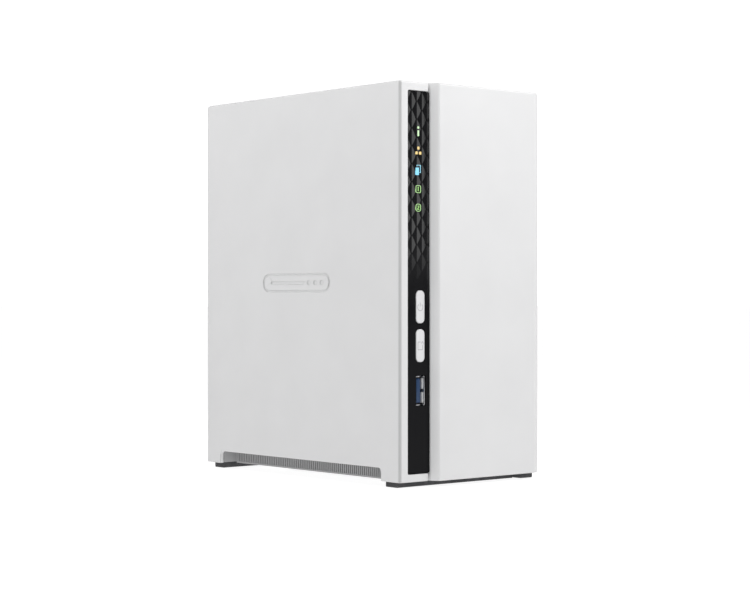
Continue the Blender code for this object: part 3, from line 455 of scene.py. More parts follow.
def spangled(name, colour, roughness):
    """Zinc-coated sheet with its soft crystal pattern."""
    material, tree = new_material(name)
    vector = coordinates(tree)
    tone = cells(tree, vector, 5.0)[0]
    values = {
        "Base Color": mix(tree, tone, scaled(colour, 0.86), colour),
        "Roughness": spread(tree, tone, roughness, roughness + 0.12),
        "Metallic": 1.0,
        "Normal": bump(tree, noise(tree, vector, 0.6, 3.0), 0.004),
    }
    return finished(material, values)


def laminate(name, directions):
    """Circuit board: blocks of parallel tracks in two directions, bare blocks and plated holes."""
    mask, copper, plated = (0.008, 0.075, 0.035), (0.03, 0.16, 0.07), (0.45, 0.42, 0.32)
    material, tree = new_material(name)
    vector = coordinates(tree)
    choice, bare = cells(tree, vector, 13.0, "CHEBYCHEV")[:2]
    first, second = (bands(tree, vector, direction, 1.3) for direction in directions)
    turned = maths(tree, "GREATER_THAN", choice, 0.5)
    along = maths(tree, "MULTIPLY", first, turned)
    across = maths(tree, "MULTIPLY", second, maths(tree, "SUBTRACT", 1.0, turned))
    tracks = maths(tree, "ADD", along, across)
    tracks = maths(tree, "MULTIPLY", tracks, maths(tree, "GREATER_THAN", bare, 0.35))
    holes = maths(tree, "LESS_THAN", cells(tree, vector, 4.5)[2], 0.1)
    tone = mix(tree, holes, mix(tree, tracks, mask, copper), plated)
    skin = bump(tree, maths(tree, "MAXIMUM", tracks, holes), 0.02)
    return finished(material, {"Base Color": tone, "Roughness": 0.34, "Normal": skin})


def glowing(name, colour, strength):
    """A lit lens whose brightness is slightly uneven."""
    material, tree = new_material(name)
    flicker = spread(tree, noise(tree, coordinates(tree), 0.8, 2.0), 0.92, 1.05)
    values = {
        "Base Color": scaled(colour, 0.3),
        "Emission Color": colour,
        "Emission Strength": maths(tree, "MULTIPLY", flicker, strength),
        "Roughness": 0.4,
        "Specular IOR Level": 0.2,
    }
    return finished(material, values)


def clear_plastic(name):
    """Clear moulding, a little cloudy."""
    material, tree = new_material(name)
    values = {
        "Base Color": (0.9, 0.93, 0.95),
        "Transmission Weight": 0.85,
        "IOR": 1.49,
        "Roughness": spread(tree, noise(tree, coordinates(tree), 4.0), 0.05, 0.2),
    }
    return finished(material, values)


def paper(name, colour):
    """Label stock with a fibrous face."""
    material, tree = new_material(name)
    fibre = noise(tree, coordinates(tree), 0.4, 5.0)
    tone = mix(tree, fibre, scaled(colour, 0.93), colour)
    skin = bump(tree, fibre, 0.01)
    return finished(material, {"Base Color": tone, "Roughness": 0.55, "Normal": skin})


# The case plastic carries painted shade on its upright left corners.
CASE = moulded("case_plastic", (0.74, 0.74, 0.745), 0.48, grain=0.3, depth=0.005, corner_shade=True)
# The tray's dark grey is partly its grey plastic and partly painted shade for the shaded intake recess.
TRAY = moulded("tray_plastic", (0.40, 0.40, 0.405), 0.5, grain=0.3, depth=0.006)
NYLON = moulded("connector_nylon", (0.72, 0.70, 0.62), 0.45)
BUTTON = moulded("button_plastic", (0.74, 0.74, 0.75), 0.4, grain=0.3, depth=0.003)
STRIP = smoked("smoked_plastic", (0.005, 0.005, 0.006))
BLACK = moulded("black_plastic", (0.018, 0.018, 0.02), 0.45, grain=0.4, depth=0.01)
FERRITE = moulded("ferrite", (0.05, 0.05, 0.052), 0.6, grain=0.6, depth=0.02)
FAN = moulded("fan_plastic", (0.02, 0.02, 0.022), 0.4, grain=0.5, depth=0.008)
BLUE = moulded("blue_plastic", (0.008, 0.040, 0.115), 0.45, grain=0.4, depth=0.004)
GLYPH = moulded("grey_ink", (0.42, 0.42, 0.44), 0.5, grain=0.3, depth=0.002)
RUBBER = rubbery("foot_rubber", (0.05, 0.05, 0.053))
WIRE_RED = moulded("red_insulation", (0.5, 0.02, 0.02), 0.4)
WIRE_BLACK = moulded("black_insulation", (0.02, 0.02, 0.02), 0.4)
WIRE_YELLOW = moulded("yellow_insulation", (0.6, 0.45, 0.03), 0.4)
SHEET = spangled("zinc_sheet", (0.66, 0.67, 0.69), 0.32)
SHELL = brushed("plated_shell", (0.60, 0.60, 0.62), 0.3, (1, 0.1, 1))
SCREW = brushed("screw_steel", (0.62, 0.62, 0.64), 0.28)
CASTING = brushed("drive_casting", (0.50, 0.51, 0.53), 0.42, (1, 1, 0.2), 0.1)
LID = brushed("drive_lid", (0.70, 0.71, 0.73), 0.3, (1, 0.08, 1))
HEATSINK = brushed("heatsink_aluminium", (0.62, 0.63, 0.66), 0.35, (1, 1, 0.1))
GOLD = brushed("gold_contact", (0.86, 0.62, 0.22), 0.22)
TIN = brushed("tinned_pin", (0.75, 0.75, 0.74), 0.3)
SPRING = brushed("spring_leaf", (0.92, 0.92, 0.91), 0.42)
BRIGHT = brushed("nickel_cell", (0.80, 0.80, 0.79), 0.2)
BOARD = laminate("solder_mask", "YZ")
RISER = laminate("riser_solder_mask", "XY")
CLEAR = clear_plastic("light_guide_plastic")
LABEL = paper("label_paper", (0.78, 0.78, 0.77))
LABEL_BAND = paper("label_band", (0.06, 0.07, 0.09))
MINT_LIGHT = glowing("mint_light", (0.66, 0.95, 0.56), 0.9)
AMBER_LIGHT = glowing("amber_light", (0.88, 0.66, 0.28), 0.9)
CYAN_LIGHT = glowing("cyan_light", (0.28, 0.72, 0.95), 0.9)
CYAN_DIM_LIGHT = glowing("cyan_dim_light", (0.35, 0.75, 0.92), 0.8)
GREEN_LIGHT = glowing("green_light", (0.42, 0.70, 0.30), 0.9)
GREEN_DIM_LIGHT = glowing("green_dim_light", (0.34, 0.66, 0.20), 0.9)
LAMP_GREEN = glowing("green_lamp", (0.25, 0.55, 0.12), 0.15)
LAMP_AMBER = glowing("amber_lamp", (0.70, 0.42, 0.06), 0.15)


# ================================================================ pieces that keep their CAD shape
# Material, how far its sharp edges are eased in millimetres, and the nodes.
KEPT = (
    (CASE, 0.25, ("left_cover", "right_cover", "rear_panel")),
    (TRAY, 0.12, ("base_tray",)),
    (NYLON, 0.2, ("fan_plug",)),
    (BUTTON, 0.15, ("power_button", "copy_button")),
    (RUBBER, 0.15, ("front_foot", "rear_foot", "corner_foot")),
    (BLACK, 0.15, ("power_switch", "copy_switch", "reset_switch", "power_inlet")),
    (BLACK, 0.15, ("power_switch_plunger", "copy_switch_plunger", "reset_button")),
    (BLACK, 0.15, ("processor", "coin_cell_holder", "riser_connector")),
    (BLACK, 0.12, ("sata_connector_1", "sata_connector_2")),
    (BOARD, 0.1, ("mainboard", "drive_board_1", "drive_board_2")),
    (RISER, 0.1, ("drive_riser",)),
    (SHEET, 0.12, ("drive_cage",)),
    (SHELL, 0.15, ("lan_jack",)),
    (CASTING, 0.35, ("drive_1", "drive_2")),
    (HEATSINK, 0.15, ("heatsink",)),
    (BRIGHT, 0.2, ("coin_cell",)),
    (FAN, 0.3, ("fan_frame",)),
    (CLEAR, 0.1, ("light_guide",)),
)


WELD_DISTANCE = 2e-6  # metres


def keep(node, material, ease):
    """Give a CAD node its material, eased edges and shading that stays flat on its flat faces."""
    piece = NODES[node]
    piece.data.materials.clear()
    piece.data.materials.append(material)
    piece.data.shade_smooth()
    weld = piece.modifiers.new("weld", "WELD")
    weld.merge_threshold = WELD_DISTANCE
    if node not in ("left_cover", "right_cover"):  # their ends are one thin frame each
        flatten = piece.modifiers.new("flatten", "DECIMATE")
        flatten.decimate_type = "DISSOLVE"
        flatten.angle_limit = math.radians(0.5)
    edges = piece.modifiers.new("edges", "BEVEL")
    edges.width = ease * MM
    edges.segments = 2
    edges.limit_method = "ANGLE"
    edges.angle_limit = math.radians(SHARP)
    edges.use_clamp_overlap = False
    normals = piece.modifiers.new("normals", "WEIGHTED_NORMAL")
    normals.weight = 80


def keep_cad_shapes():
    for material, ease, names in KEPT:
        for name in names:
            keep(name, material, ease)


# ================================================================ front strip
STRIP_LOW, STRIP_HIGH = corners("indicator_strip")
POWER_LOW, POWER_HIGH = corners("power_button")
COPY_LOW, COPY_HIGH = corners("copy_button")
USB_LOW, USB_HIGH = corners("front_usb_shell")
STRIP_FRONT = STRIP_LOW.y
STRIP_SIDES, STRIP_ENDS = (-39.82, -26.2), (6.9, 184.2)
STRIP_FLANGE_Y = -71.96
BUTTON_X = middle(*corners("power_switch_plunger")).x
BUTTON_HALF_WIDTH, BUTTON_HALF_HEIGHT = 2.64, 7.665
DIAMOND_X, DIAMOND_Z = 3.17, 4.15  # half width and half height of one diamond
DIAMOND_START = (-37.35, 179.5)
RELIEF_BED, RIDGE = 0.3, 0.37  # how far the relief's bed is sunk, and how far its ridges stand up
RELIEF_ROOT = 0.15  # how far each diamond reaches into the bed
RELIEF_ENDS_Z = (92.4, 114.0)  # the relief fades out between these heights, above the buttons
CLEARANCE = 0.3
STRIP_SHARP, RELIEF_SHARP = 25, 2  # degrees, as SHARP
THROUGH_STRIP = ("Y", STRIP_LOW.y - 2, STRIP_HIGH.y + 1)  # axis and ends of a cut right through


def relief_share(z):
    low, high = RELIEF_ENDS_Z
    return min(1.0, max(0.0, (z - low) / (high - low)))


def strip_blank():
    """The strip's front plate before its openings are cut, with the bed for the relief."""
    low, high = RELIEF_ENDS_Z
    profile = [
        (STRIP_HIGH.y, STRIP_ENDS[0] - 1),
        (STRIP_FRONT, STRIP_ENDS[0] - 1),
        (STRIP_FRONT, low),
        (STRIP_FRONT + RELIEF_BED, high),
        (STRIP_FRONT + RELIEF_BED, STRIP_ENDS[1] + 1),
        (STRIP_HIGH.y, STRIP_ENDS[1] + 1),
    ]
    form = bmesh.new()
    add_prism(form, profile, "X", STRIP_SIDES[0] - 1, STRIP_SIDES[1] + 1)
    return form


def diamond_relief():
    """Diamonds side by side, each with an upright ridge and one facet to either side of it."""
    form = bmesh.new()
    for i in range(-2, 6):
        for j in range(-22, 3):
            if (i + j) % 2:
                continue
            x, z = DIAMOND_START[0] + i * DIAMOND_X, DIAMOND_START[1] + j * DIAMOND_Z
            if z - DIAMOND_Z < RELIEF_ENDS_Z[0]:
                continue
            share = relief_share(z)
            bed = STRIP_FRONT + RELIEF_BED * share
            ridge = bed - RIDGE * share
            top, bottom = (x, ridge, z + DIAMOND_Z), (x, ridge, z - DIAMOND_Z)
            left, right = (x - DIAMOND_X, bed, z), (x + DIAMOND_X, bed, z)
            points = (top, left, bottom, right)
            front = [form.verts.new(point) for point in points]
            back = [form.verts.new((u, bed + RELIEF_ROOT, w)) for u, _, w in points]
            form.faces.new(front[:3])
            form.faces.new((front[0], *front[2:]))
            form.faces.new(back[::-1])
            for k in range(4):
                m = (k + 1) % 4
                form.faces.new((front[m], front[k], back[k], back[m]))
    for place, normal in (
        ((STRIP_SIDES[0] + 0.05, 0, 0), (-1, 0, 0)),
        ((STRIP_SIDES[1] - 0.05, 0, 0), (1, 0, 0)),
        ((0, 0, STRIP_ENDS[1] - 0.05), (0, 0, 1)),
    ):
        everything = form.verts[:] + form.edges[:] + form.faces[:]
        cut = bmesh.ops.bisect_plane(
            form, geom=everything, dist=1e-5, plane_co=place, plane_no=normal, clear_outer=True
        )
        edges = [part for part in cut["geom_cut"] if isinstance(part, bmesh.types.BMEdge)]
        bmesh.ops.holes_fill(form, edges=edges, sides=0)
    return form


def front_strip():
    """Smoked strip with its diamond relief, flange and openings."""
    looks = STRIP, "strip_smoked"
    piece = make(
        "front_strip", strip_blank(), *looks, replaces=["indicator_strip"], angle=STRIP_SHARP
    )
    window = bmesh.new()
    low, high = zip(STRIP_SIDES, STRIP_ENDS)
    add_prism(window, rounded(low, high, 0.8), *THROUGH_STRIP)
    shape_by(piece, window, "INTERSECT", STRIP_SHARP)
    flange = bmesh.new()
    add_box(flange, (STRIP_LOW.x, STRIP_FLANGE_Y, STRIP_LOW.z), STRIP_HIGH - Vector((0.3, 0, 0)))
    shape_by(piece, flange, "UNION", STRIP_SHARP)
    openings = bmesh.new()
    half_width = BUTTON_HALF_WIDTH + CLEARANCE
    half_height = BUTTON_HALF_HEIGHT + CLEARANCE
    for low_corner, high_corner in ((POWER_LOW, POWER_HIGH), (COPY_LOW, COPY_HIGH)):
        z = (low_corner.z + high_corner.z) / 2
        low, high = (BUTTON_X - half_width, z - half_height), (BUTTON_X + half_width, z + half_height)
        add_prism(openings, rounded(low, high, 2.5), *THROUGH_STRIP)
    low = (USB_LOW.x - CLEARANCE, USB_LOW.z - CLEARANCE)
    high = (USB_HIGH.x + CLEARANCE, USB_HIGH.z + CLEARANCE)
    add_prism(openings, rounded(low, high, 0.4), *THROUGH_STRIP)
    shape_by(piece, openings, "DIFFERENCE", STRIP_SHARP)
    make("strip_relief", diamond_relief(), *looks, angle=RELIEF_SHARP)


ICON_X = -33.3
ICON_FRONT, ICON_BACK = STRIP_FRONT - 0.16, STRIP_FRONT + 0.4
ICON_DEPTH = ("Y", ICON_FRONT, ICON_BACK)


def status_lights():
    """The five lit symbols: status, network, copy, drive 1 and drive 2."""
    x = ICON_X
    form = bmesh.new()
    add_cylinder(form, (x, ICON_BACK, 167.35), (0, -1, 0), 0.58, ICON_BACK - ICON_FRONT, 20, 0.05)
    bar = rounded((x - 0.45, 163.4), (x + 0.45, 166.05), 0.2)
    add_prism(form, bar, *ICON_DEPTH)
    make("status_symbol", form, MINT_LIGHT, "light_guide")

    form = bmesh.new()
    for offset, z in ((0.05, 157.85), (-1.05, 155.55), (1.2, 155.55)):
        square = rounded((x + offset - 0.62, z - 0.66), (x + offset + 0.62, z + 0.66), 0.3)
        add_prism(form, square, *ICON_DEPTH)
    make("network_symbol", form, AMBER_LIGHT, "light_guide")

    form = bmesh.new()
    add_prism(form, rounded((-34.95, 145.3), (-32.95, 148.75), 0.3), *ICON_DEPTH)
    make("copy_symbol", form, CYAN_LIGHT, "light_guide")
    form = bmesh.new()
    behind = [(-34.2, 149.3), (-34.2, 149.9), (-31.95, 149.9), (-31.95, 146.5), (-32.5, 146.5)]
    add_ribbon(form, behind, 0.24, *ICON_DEPTH)
    make("copy_symbol_outline", form, CYAN_DIM_LIGHT, "light_guide")

    for number, z in ((1, 138.8), (2, 130.2)):
        form = bmesh.new()
        ring = rounded((x - 1.45, z - 1.65), (x + 1.45, z + 1.65), 0.7 if number == 1 else 1.0)
        add_ribbon(form, ring, 0.28, *ICON_DEPTH, closed=True)
        make(f"drive_symbol_{number}", form, GREEN_LIGHT, "light_guide")
        form = bmesh.new()
        if number == 1:
            digit = [(x - 0.4, z + 0.5), (x + 0.05, z + 0.85), (x + 0.05, z - 0.95)]
        else:
            digit = arc(x, z + 0.4, 0.45, 160, -40, 6) + [(x - 0.5, z - 0.8), (x + 0.55, z - 0.8)]
        add_ribbon(form, digit, 0.3, *ICON_DEPTH)
        make(f"drive_digit_{number}", form, GREEN_DIM_LIGHT, "light_guide")


def button_symbols():
    """Printed symbols: a broken ring with a bar for power, a sheet with an arrow for copy."""
    ink = (0.32, "Y", POWER_LOW.y - 0.02, POWER_LOW.y + 0.1)  # line width, and its depth
    x, z = BUTTON_X - 0.25, (POWER_LOW.z + POWER_HIGH.z) / 2
    form = bmesh.new()
    add_ribbon(form, arc(x, z - 0.2, 1.6, 125, 415, 24), *ink)
    add_ribbon(form, [(x, z + 0.2), (x, z + 2.0)], *ink)
    make("power_symbol", form, GLYPH, "button_white", body="power_button")
    z = (COPY_LOW.z + COPY_HIGH.z) / 2
    form = bmesh.new()
    sheet = [(0.3, 1.7), (-1.4, 1.7), (-1.4, -1.9), (1.4, -1.9), (1.4, 0.5)]
    add_ribbon(form, [(x + u, z + v) for u, v in sheet], *ink)
    head = [(0.7, 0.9), (1.4, 1.9), (2.1, 0.9)]
    add_ribbon(form, [(x + u, z + v) for u, v in head], *ink)
    make("copy_mark", form, GLYPH, "button_white", body="copy_button")


# ================================================================ sockets
def usb_socket(prefix, plastic, slot, open_rim=False):
    """Folded steel shell with spring fingers, round an insulator whose blade carries contacts.

    With an open rim the shell is notched at its mouth and its left wall is set back.
    """
    low, high = corners(prefix + "_shell")
    out = -1 if low.y < 0 else 1
    mouth, back = (low.y, high.y) if out < 0 else (high.y, low.y)
    z = (low.z + high.z) / 2
    sheet = 0.4

    def at(depth):
        return mouth - out * depth

    def plate(form, x0, x1, start, end, z0, z1, ease=0.08):
        ys = sorted((at(start), at(end)))
        add_box(form, (x0, ys[0], z0), (x1, ys[1], z1), ease)

    length = abs(back - mouth)
    notch, notch_depth, left_start = ((2.7, 3.3), 6.0, 0.0)
    if open_rim:
        notch, notch_depth, left_start = ((2.1, 4.3), 2.2, 0.9)
    form = bmesh.new()
    for z0, z1 in ((low.z, low.z + sheet), (high.z - sheet, high.z)):
        plate(form, low.x, low.x + notch[0], 0, length, z0, z1)
        plate(form, low.x + notch[1], high.x, 0, length, z0, z1)
        plate(form, low.x + notch[0] - 0.1, low.x + notch[1] + 0.1, notch_depth, length, z0, z1)
    plate(form, low.x, low.x + sheet, left_start, length, low.z, high.z)
    plate(form, high.x - sheet, high.x, 0, length, low.z, high.z)
    make(prefix + "_sleeve", form, SHELL, "connector_steel", replaces=[prefix + "_shell"])
    form = bmesh.new()
    inside = high.x - sheet
    for side in (-1, 1):
        z0, z1 = sorted((z + side * 0.75, z + side * 5.7))
        bends = ((0.05, 0.6), (-0.12, 0.85), (-0.65, 1.85), (-0.6, 2.2), (0.05, 3.6))
        leaf = [(inside + stand, at(depth)) for stand, depth in bends]
        add_ribbon(form, leaf, 0.16, "Z", z0, z1)
    make(prefix + "_springs", form, SPRING, "connector_steel")
    block_low, block_high = corners(prefix + "_tongue")
    form = bmesh.new()
    plate(form, block_low.x, block_high.x, length - 4.5, length - 0.3, block_low.z, block_high.z, 0.2)
    plate(form, low.x + 0.75, low.x + 3.2, 0.7, length - 3.5, z - 5.7, z + 5.7, 0.25)
    make(prefix + "_blade", form, plastic, slot, replaces=[prefix + "_tongue"])
    form = bmesh.new()
    for number in range(5):
        row = z + (number - 2) * 2.3
        plate(form, low.x + 3.1, low.x + 3.26, 3.2, length - 4.0, row - 0.45, row + 0.45, 0.03)
    for row in (-3.5, -1.2, 1.2, 3.5):
        plate(form, low.x + 3.15, low.x + 3.35, 7.5, 10.0, z + row - 0.3, z + row + 0.3, 0.03)
    make(prefix + "_contacts", form, GOLD, "connector_steel")


def network_socket():
    """Contacts, insulator, two lamps and spring fingers of the network socket."""
    low, high = corners("lan_jack")
    z = (low.z + high.z) / 2
    form = bmesh.new()
    for number in range(8):
        row = z + (number - 3.5) * 1.02
        wire = [(-32.0, 64.0, row), (-32.3, 66.5, row), (-35.4, 72.6, row), (-35.2, 73.4, row)]
        add_tube(form, wire, 0.22, 8)
    make("network_contacts", form, GOLD, "connector_steel")
    form = bmesh.new()
    add_box(form, (-39.7, 63.05, low.z + 2.2), (-31.9, 64.2, high.z - 2.2), 0.15)
    add_box(form, (-33.0, 63.5, z - 4.6), (-31.85, 67.0, z + 4.6), 0.2)
    make("network_insulator", form, BLACK, "connector_black")
    for name, material, centre in (
        ("network_lamp_1", LAMP_GREEN, low.z + 1.05),
        ("network_lamp_2", LAMP_AMBER, high.z - 1.05),
    ):
        form = bmesh.new()
        add_box(form, (-40.4, high.y - 1.0, centre - 0.7), (-37.2, high.y + 0.08, centre + 0.7), 0.12)
        make(name, form, material, "light_guide")
    form = bmesh.new()
    for z0, z1 in ((low.z - 0.02, low.z + 0.12), (high.z - 0.12, high.z + 0.02)):
        for x in (-39.0, -33.5):
            add_box(form, (x, high.y - 8.0, z0), (x + 2.4, high.y - 2.5, z1), 0.05)
    make("network_fingers", form, BRIGHT, "connector_steel")


def inlet_pin():
    """Centre pin and collar of the power inlet."""
    low, high = corners("power_inlet")
    centre = Vector(((low.x + high.x) / 2, high.y - 9.0, (low.z + high.z) / 2))
    form = bmesh.new()
    profile = [(0, 8.6), (0.55, 8.55), (0.9, 8.3), (1.06, 7.8), (1.06, 0.1), (0, 0.1)]
    add_turned(form, profile, centre, (0, 1, 0), 28)
    make("inlet_pin", form, TIN, "connector_steel")
    form = bmesh.new()
    profile = [(3.1, 9.04), (3.5, 9.04), (3.6, 8.94), (3.6, 8.6), (3.0, 8.6), (3.0, 8.94), (3.1, 9.04)]
    add_turned(form, profile, centre, (0, 1, 0), 40)
    make("inlet_collar", form, BLACK, "connector_black")


# ================================================================ screws
# Which way each kind's head faces, and how many there are.
SCREWS = {
    "base_screw": ((0, 0, -1), 4),
    "board_screw": ((-1, 0, 0), 3),
    "cover_screw": ((0, 1, 0), 2),
    "drive_screw": ((0, -1, 0), 4),
    "fan_screw": ((0, 1, 0), 4),
}
HEAD_HEIGHT = 1.1


def screw_form(radius, shank, length, thread):
    """Pan head over a ridged shank; the head's underside is at the origin."""
    form = bmesh.new()
    crown = HEAD_HEIGHT
    profile = [(0, crown), (radius * 0.55, crown * 0.98), (radius * 0.82, crown * 0.86)]
    profile += [(radius * 0.96, crown * 0.6), (radius, crown * 0.35), (radius, 0.1)]
    profile += [(radius - 0.1, 0), (shank, 0)]
    height = -0.5
    while height > -length + shank + thread:
        profile += [(shank, height), (shank * 0.82, height - thread / 2)]
        height -= thread
    profile += [(shank * 0.9, -length + shank), (0, -length)]
    add_turned(form, profile, (0, 0, 0), (0, 0, 1), 28)
    return form


def cross_form(radius):
    """A cross that tapers down into the head."""
    half, arm = radius * 0.12, radius * 0.52
    ring = [(half, arm), (half, half), (arm, half)]
    outline = []
    for turn in range(4):
        cosine, sine = math.cos(turn * math.pi / 2), math.sin(turn * math.pi / 2)
        outline += [(u * cosine + v * sine, v * cosine - u * sine) for u, v in ring]
    form = bmesh.new()
    add_prism(form, outline, "Z", HEAD_HEIGHT * 0.3, HEAD_HEIGHT + 1)
    for vertex in form.verts:
        if vertex.co.z < HEAD_HEIGHT:
            vertex.co.xy *= 0.6
    return form


def screws():
    """One cut head per kind, copied to each screw of that kind."""
    for kind, (direction, count) in SCREWS.items():
        low, high = corners(kind + "_1")
        size = high - low
        along = max(range(3), key=lambda k: abs(direction[k]))
        across = (along + 1) % 3
        radius = size[across] / 2
        length = size[along] - HEAD_HEIGHT
        shank, thread = (1.9, 0.9) if kind == "fan_screw" else (1.4, 0.6)
        pattern = solid(kind + "_pattern", screw_form(radius, shank, length, thread))
        shape_by(pattern, cross_form(radius), "DIFFERENCE")
        cut = bmesh.new()
        cut.from_mesh(pattern.data)
        bmesh.ops.scale(cut, verts=cut.verts, vec=(1 / MM, 1 / MM, 1 / MM))
        for number in range(1, count + 1):
            node = f"{kind}_{number}"
            low, high = corners(node)
            seat = middle(low, high)
            facing = direction[along]
            seat[along] = (high if facing > 0 else low)[along] - facing * HEAD_HEIGHT
            spin = Matrix.Rotation(math.radians(23 * number), 3, "Z")
            matrix = Matrix.Translation(seat) @ (turn_to(direction) @ spin).to_4x4()
            form = cut.copy()
            bmesh.ops.transform(form, verts=form.verts, matrix=matrix)
            make(node + "_driven", form, SCREW, "screw_steel", rides_on(node), [node])
        cut.free()
        discard(pattern)


# ================================================================ fan
BLADES = 7
HUB_RADIUS, TIP_RADIUS = 14.8, 36.6


def fan_rotor():
    """Hub, seven twisted blades with rounded tips, and a plain badge on the hub."""
    low, high = corners("fan_rotor")
    x, z = (low.x + high.x) / 2, (low.z + high.z) / 2
    foot, top = low.y, high.y - 2.6
    form = bmesh.new()
    depth = top - foot
    profile = [(0, depth + 2.6), (1.3, depth + 2.6), (1.5, depth + 2.4), (1.5, depth)]
    profile += [(HUB_RADIUS - 0.6, depth), (HUB_RADIUS, depth - 0.6), (HUB_RADIUS, 2.2)]
    profile += [(HUB_RADIUS - 0.4, 0.9), (HUB_RADIUS - 1.4, 0.2), (HUB_RADIUS - 3.0, 0)]
    profile += [(9.6, 0), (9.4, 0.3), (0, 0.3)]
    add_turned(form, profile, (x, foot, z), (0, 1, 0), 72)
    add_blades(form, Vector((x, top - 9.0, z)))
    make("fan_wheel", form, FAN, "fan_black", "fan_rotor", ["fan_rotor"], angle=40)
    form = bmesh.new()
    add_cylinder(form, (x, foot + 0.3, z), (0, -1, 0), 9.2, 0.12, 64, 0.03)
    make("fan_badge", form, LABEL, "fan_black", "fan_rotor")
    form = bmesh.new()
    for radius in (8.0, 4.2):
        ring = arc(x, z, radius, 20, 340, 40)
        add_ribbon(form, ring, 0.7, "Y", foot + 0.1, foot + 0.25)
    make("fan_badge_rings", form, LABEL_BAND, "fan_black", "fan_rotor")


def add_blades(form, centre):
    """Add the blades: thin, cambered, turned less towards the tip, and rounded at their edges."""
    spans, chords, chord, thickness = 14, 10, 12.0, 1.3
    root = HUB_RADIUS - 1.0
    for blade in range(BLADES):
        turn = Matrix.Rotation(2 * math.pi * blade / BLADES, 3, "Y")
        sides = []
        for face in (-1, 1):
            rows = []
            for i in range(spans + 1):
                share = i / spans
                pitch = math.radians(52 - 24 * share)
                tip = math.sqrt(max(0.0, 1 - max(0.0, (share - 0.86) / 0.14) ** 2 * 0.6))
                row = []
                for k in range(chords + 1):
                    across = (k / chords - 0.5) * tip
                    edge = math.sqrt(max(0.0, 1 - (2 * k / chords - 1) ** 2))
                    lift = 0.9 - 3.6 * across**2 + face * thickness / 2 * (0.25 + 0.75 * edge)
                    along = across * chord
                    point = (
                        root + (TIP_RADIUS - root) * share,
                        along * math.sin(pitch) + lift * math.cos(pitch),
                        along * math.cos(pitch) - lift * math.sin(pitch),
                    )
                    row.append(form.verts.new(centre + turn @ Vector(point)))
                rows.append(row)
            sides.append(rows)
        under, over = sides
        for i in range(spans):
            for k in range(chords):
                form.faces.new((under[i][k], under[i][k + 1], under[i + 1][k + 1], under[i + 1][k]))
                form.faces.new((over[i][k], over[i + 1][k], over[i + 1][k + 1], over[i][k + 1]))
            for k, (one, two) in ((0, (under, over)), (chords, (over, under))):
                form.faces.new((one[i][k], one[i + 1][k], two[i + 1][k], two[i][k]))
        for i in (0, spans):
            for k in range(chords):
                form.faces.new((under[i][k], under[i][k + 1], over[i][k + 1], over[i][k]))


def fan_trim():
    """Label on the motor seat, the three wires that run down to the plug, and its terminals."""
    low, high = corners("fan_frame")
    x, z = (low.x + high.x) / 2, (low.z + high.z) / 2
    form = bmesh.new()
    add_cylinder(form, (x, high.y - 0.62, z), (0, 1, 0), 12.5, 0.1, 64, 0.03)
    make("fan_label", form, LABEL, "fan_black")
    form = bmesh.new()
    add_ribbon(form, arc(x, z, 11.0, 200, 340, 30), 1.4, "Y", high.y - 0.55, high.y - 0.49)
    for row in (2.5, 0.0, -2.5):
        add_box(form, (x - 5, high.y - 0.55, z + row), (x + 5 - row, high.y - 0.49, z + row + 0.7))
    make("fan_label_print", form, LABEL_BAND, "fan_black")
    start, end = Vector((-35.5, 57.0, 97.4)), Vector((-32.0, 50.5, 88.2))
    lean = Vector((0, 0, 6.0))
    for number, (name, material) in enumerate(
        (("red", WIRE_RED), ("black", WIRE_BLACK), ("yellow", WIRE_YELLOW))
    ):
        side = Vector((0.0, 0.42 * (number - 1), 0.0))
        form = bmesh.new()
        add_tube(form, bezier(start + side, start + side - lean, end + side + lean, end + side, 20), 0.4)
        replaced = ["fan_lead"] if name == "black" else []
        make(f"fan_wire_{name}", form, material, "lead_black", replaces=replaced)
    low, high = corners("fan_plug")
    form = bmesh.new()
    for number in range(3):
        y = (low.y + high.y) / 2 + (number - 1) * 2.0
        add_box(form, (low.x - 0.04, y - 0.4, low.z + 1.0), (low.x + 0.3, y + 0.4, high.z - 1.6), 0.05)
    make("fan_plug_terminals", form, TIN, "connector_steel")


# ================================================================ drives and cage
def bar_code(start, gap, widths):
    """Start and end of each bar of a row."""
    for width in widths:
        yield start, start + width
        start += width + gap


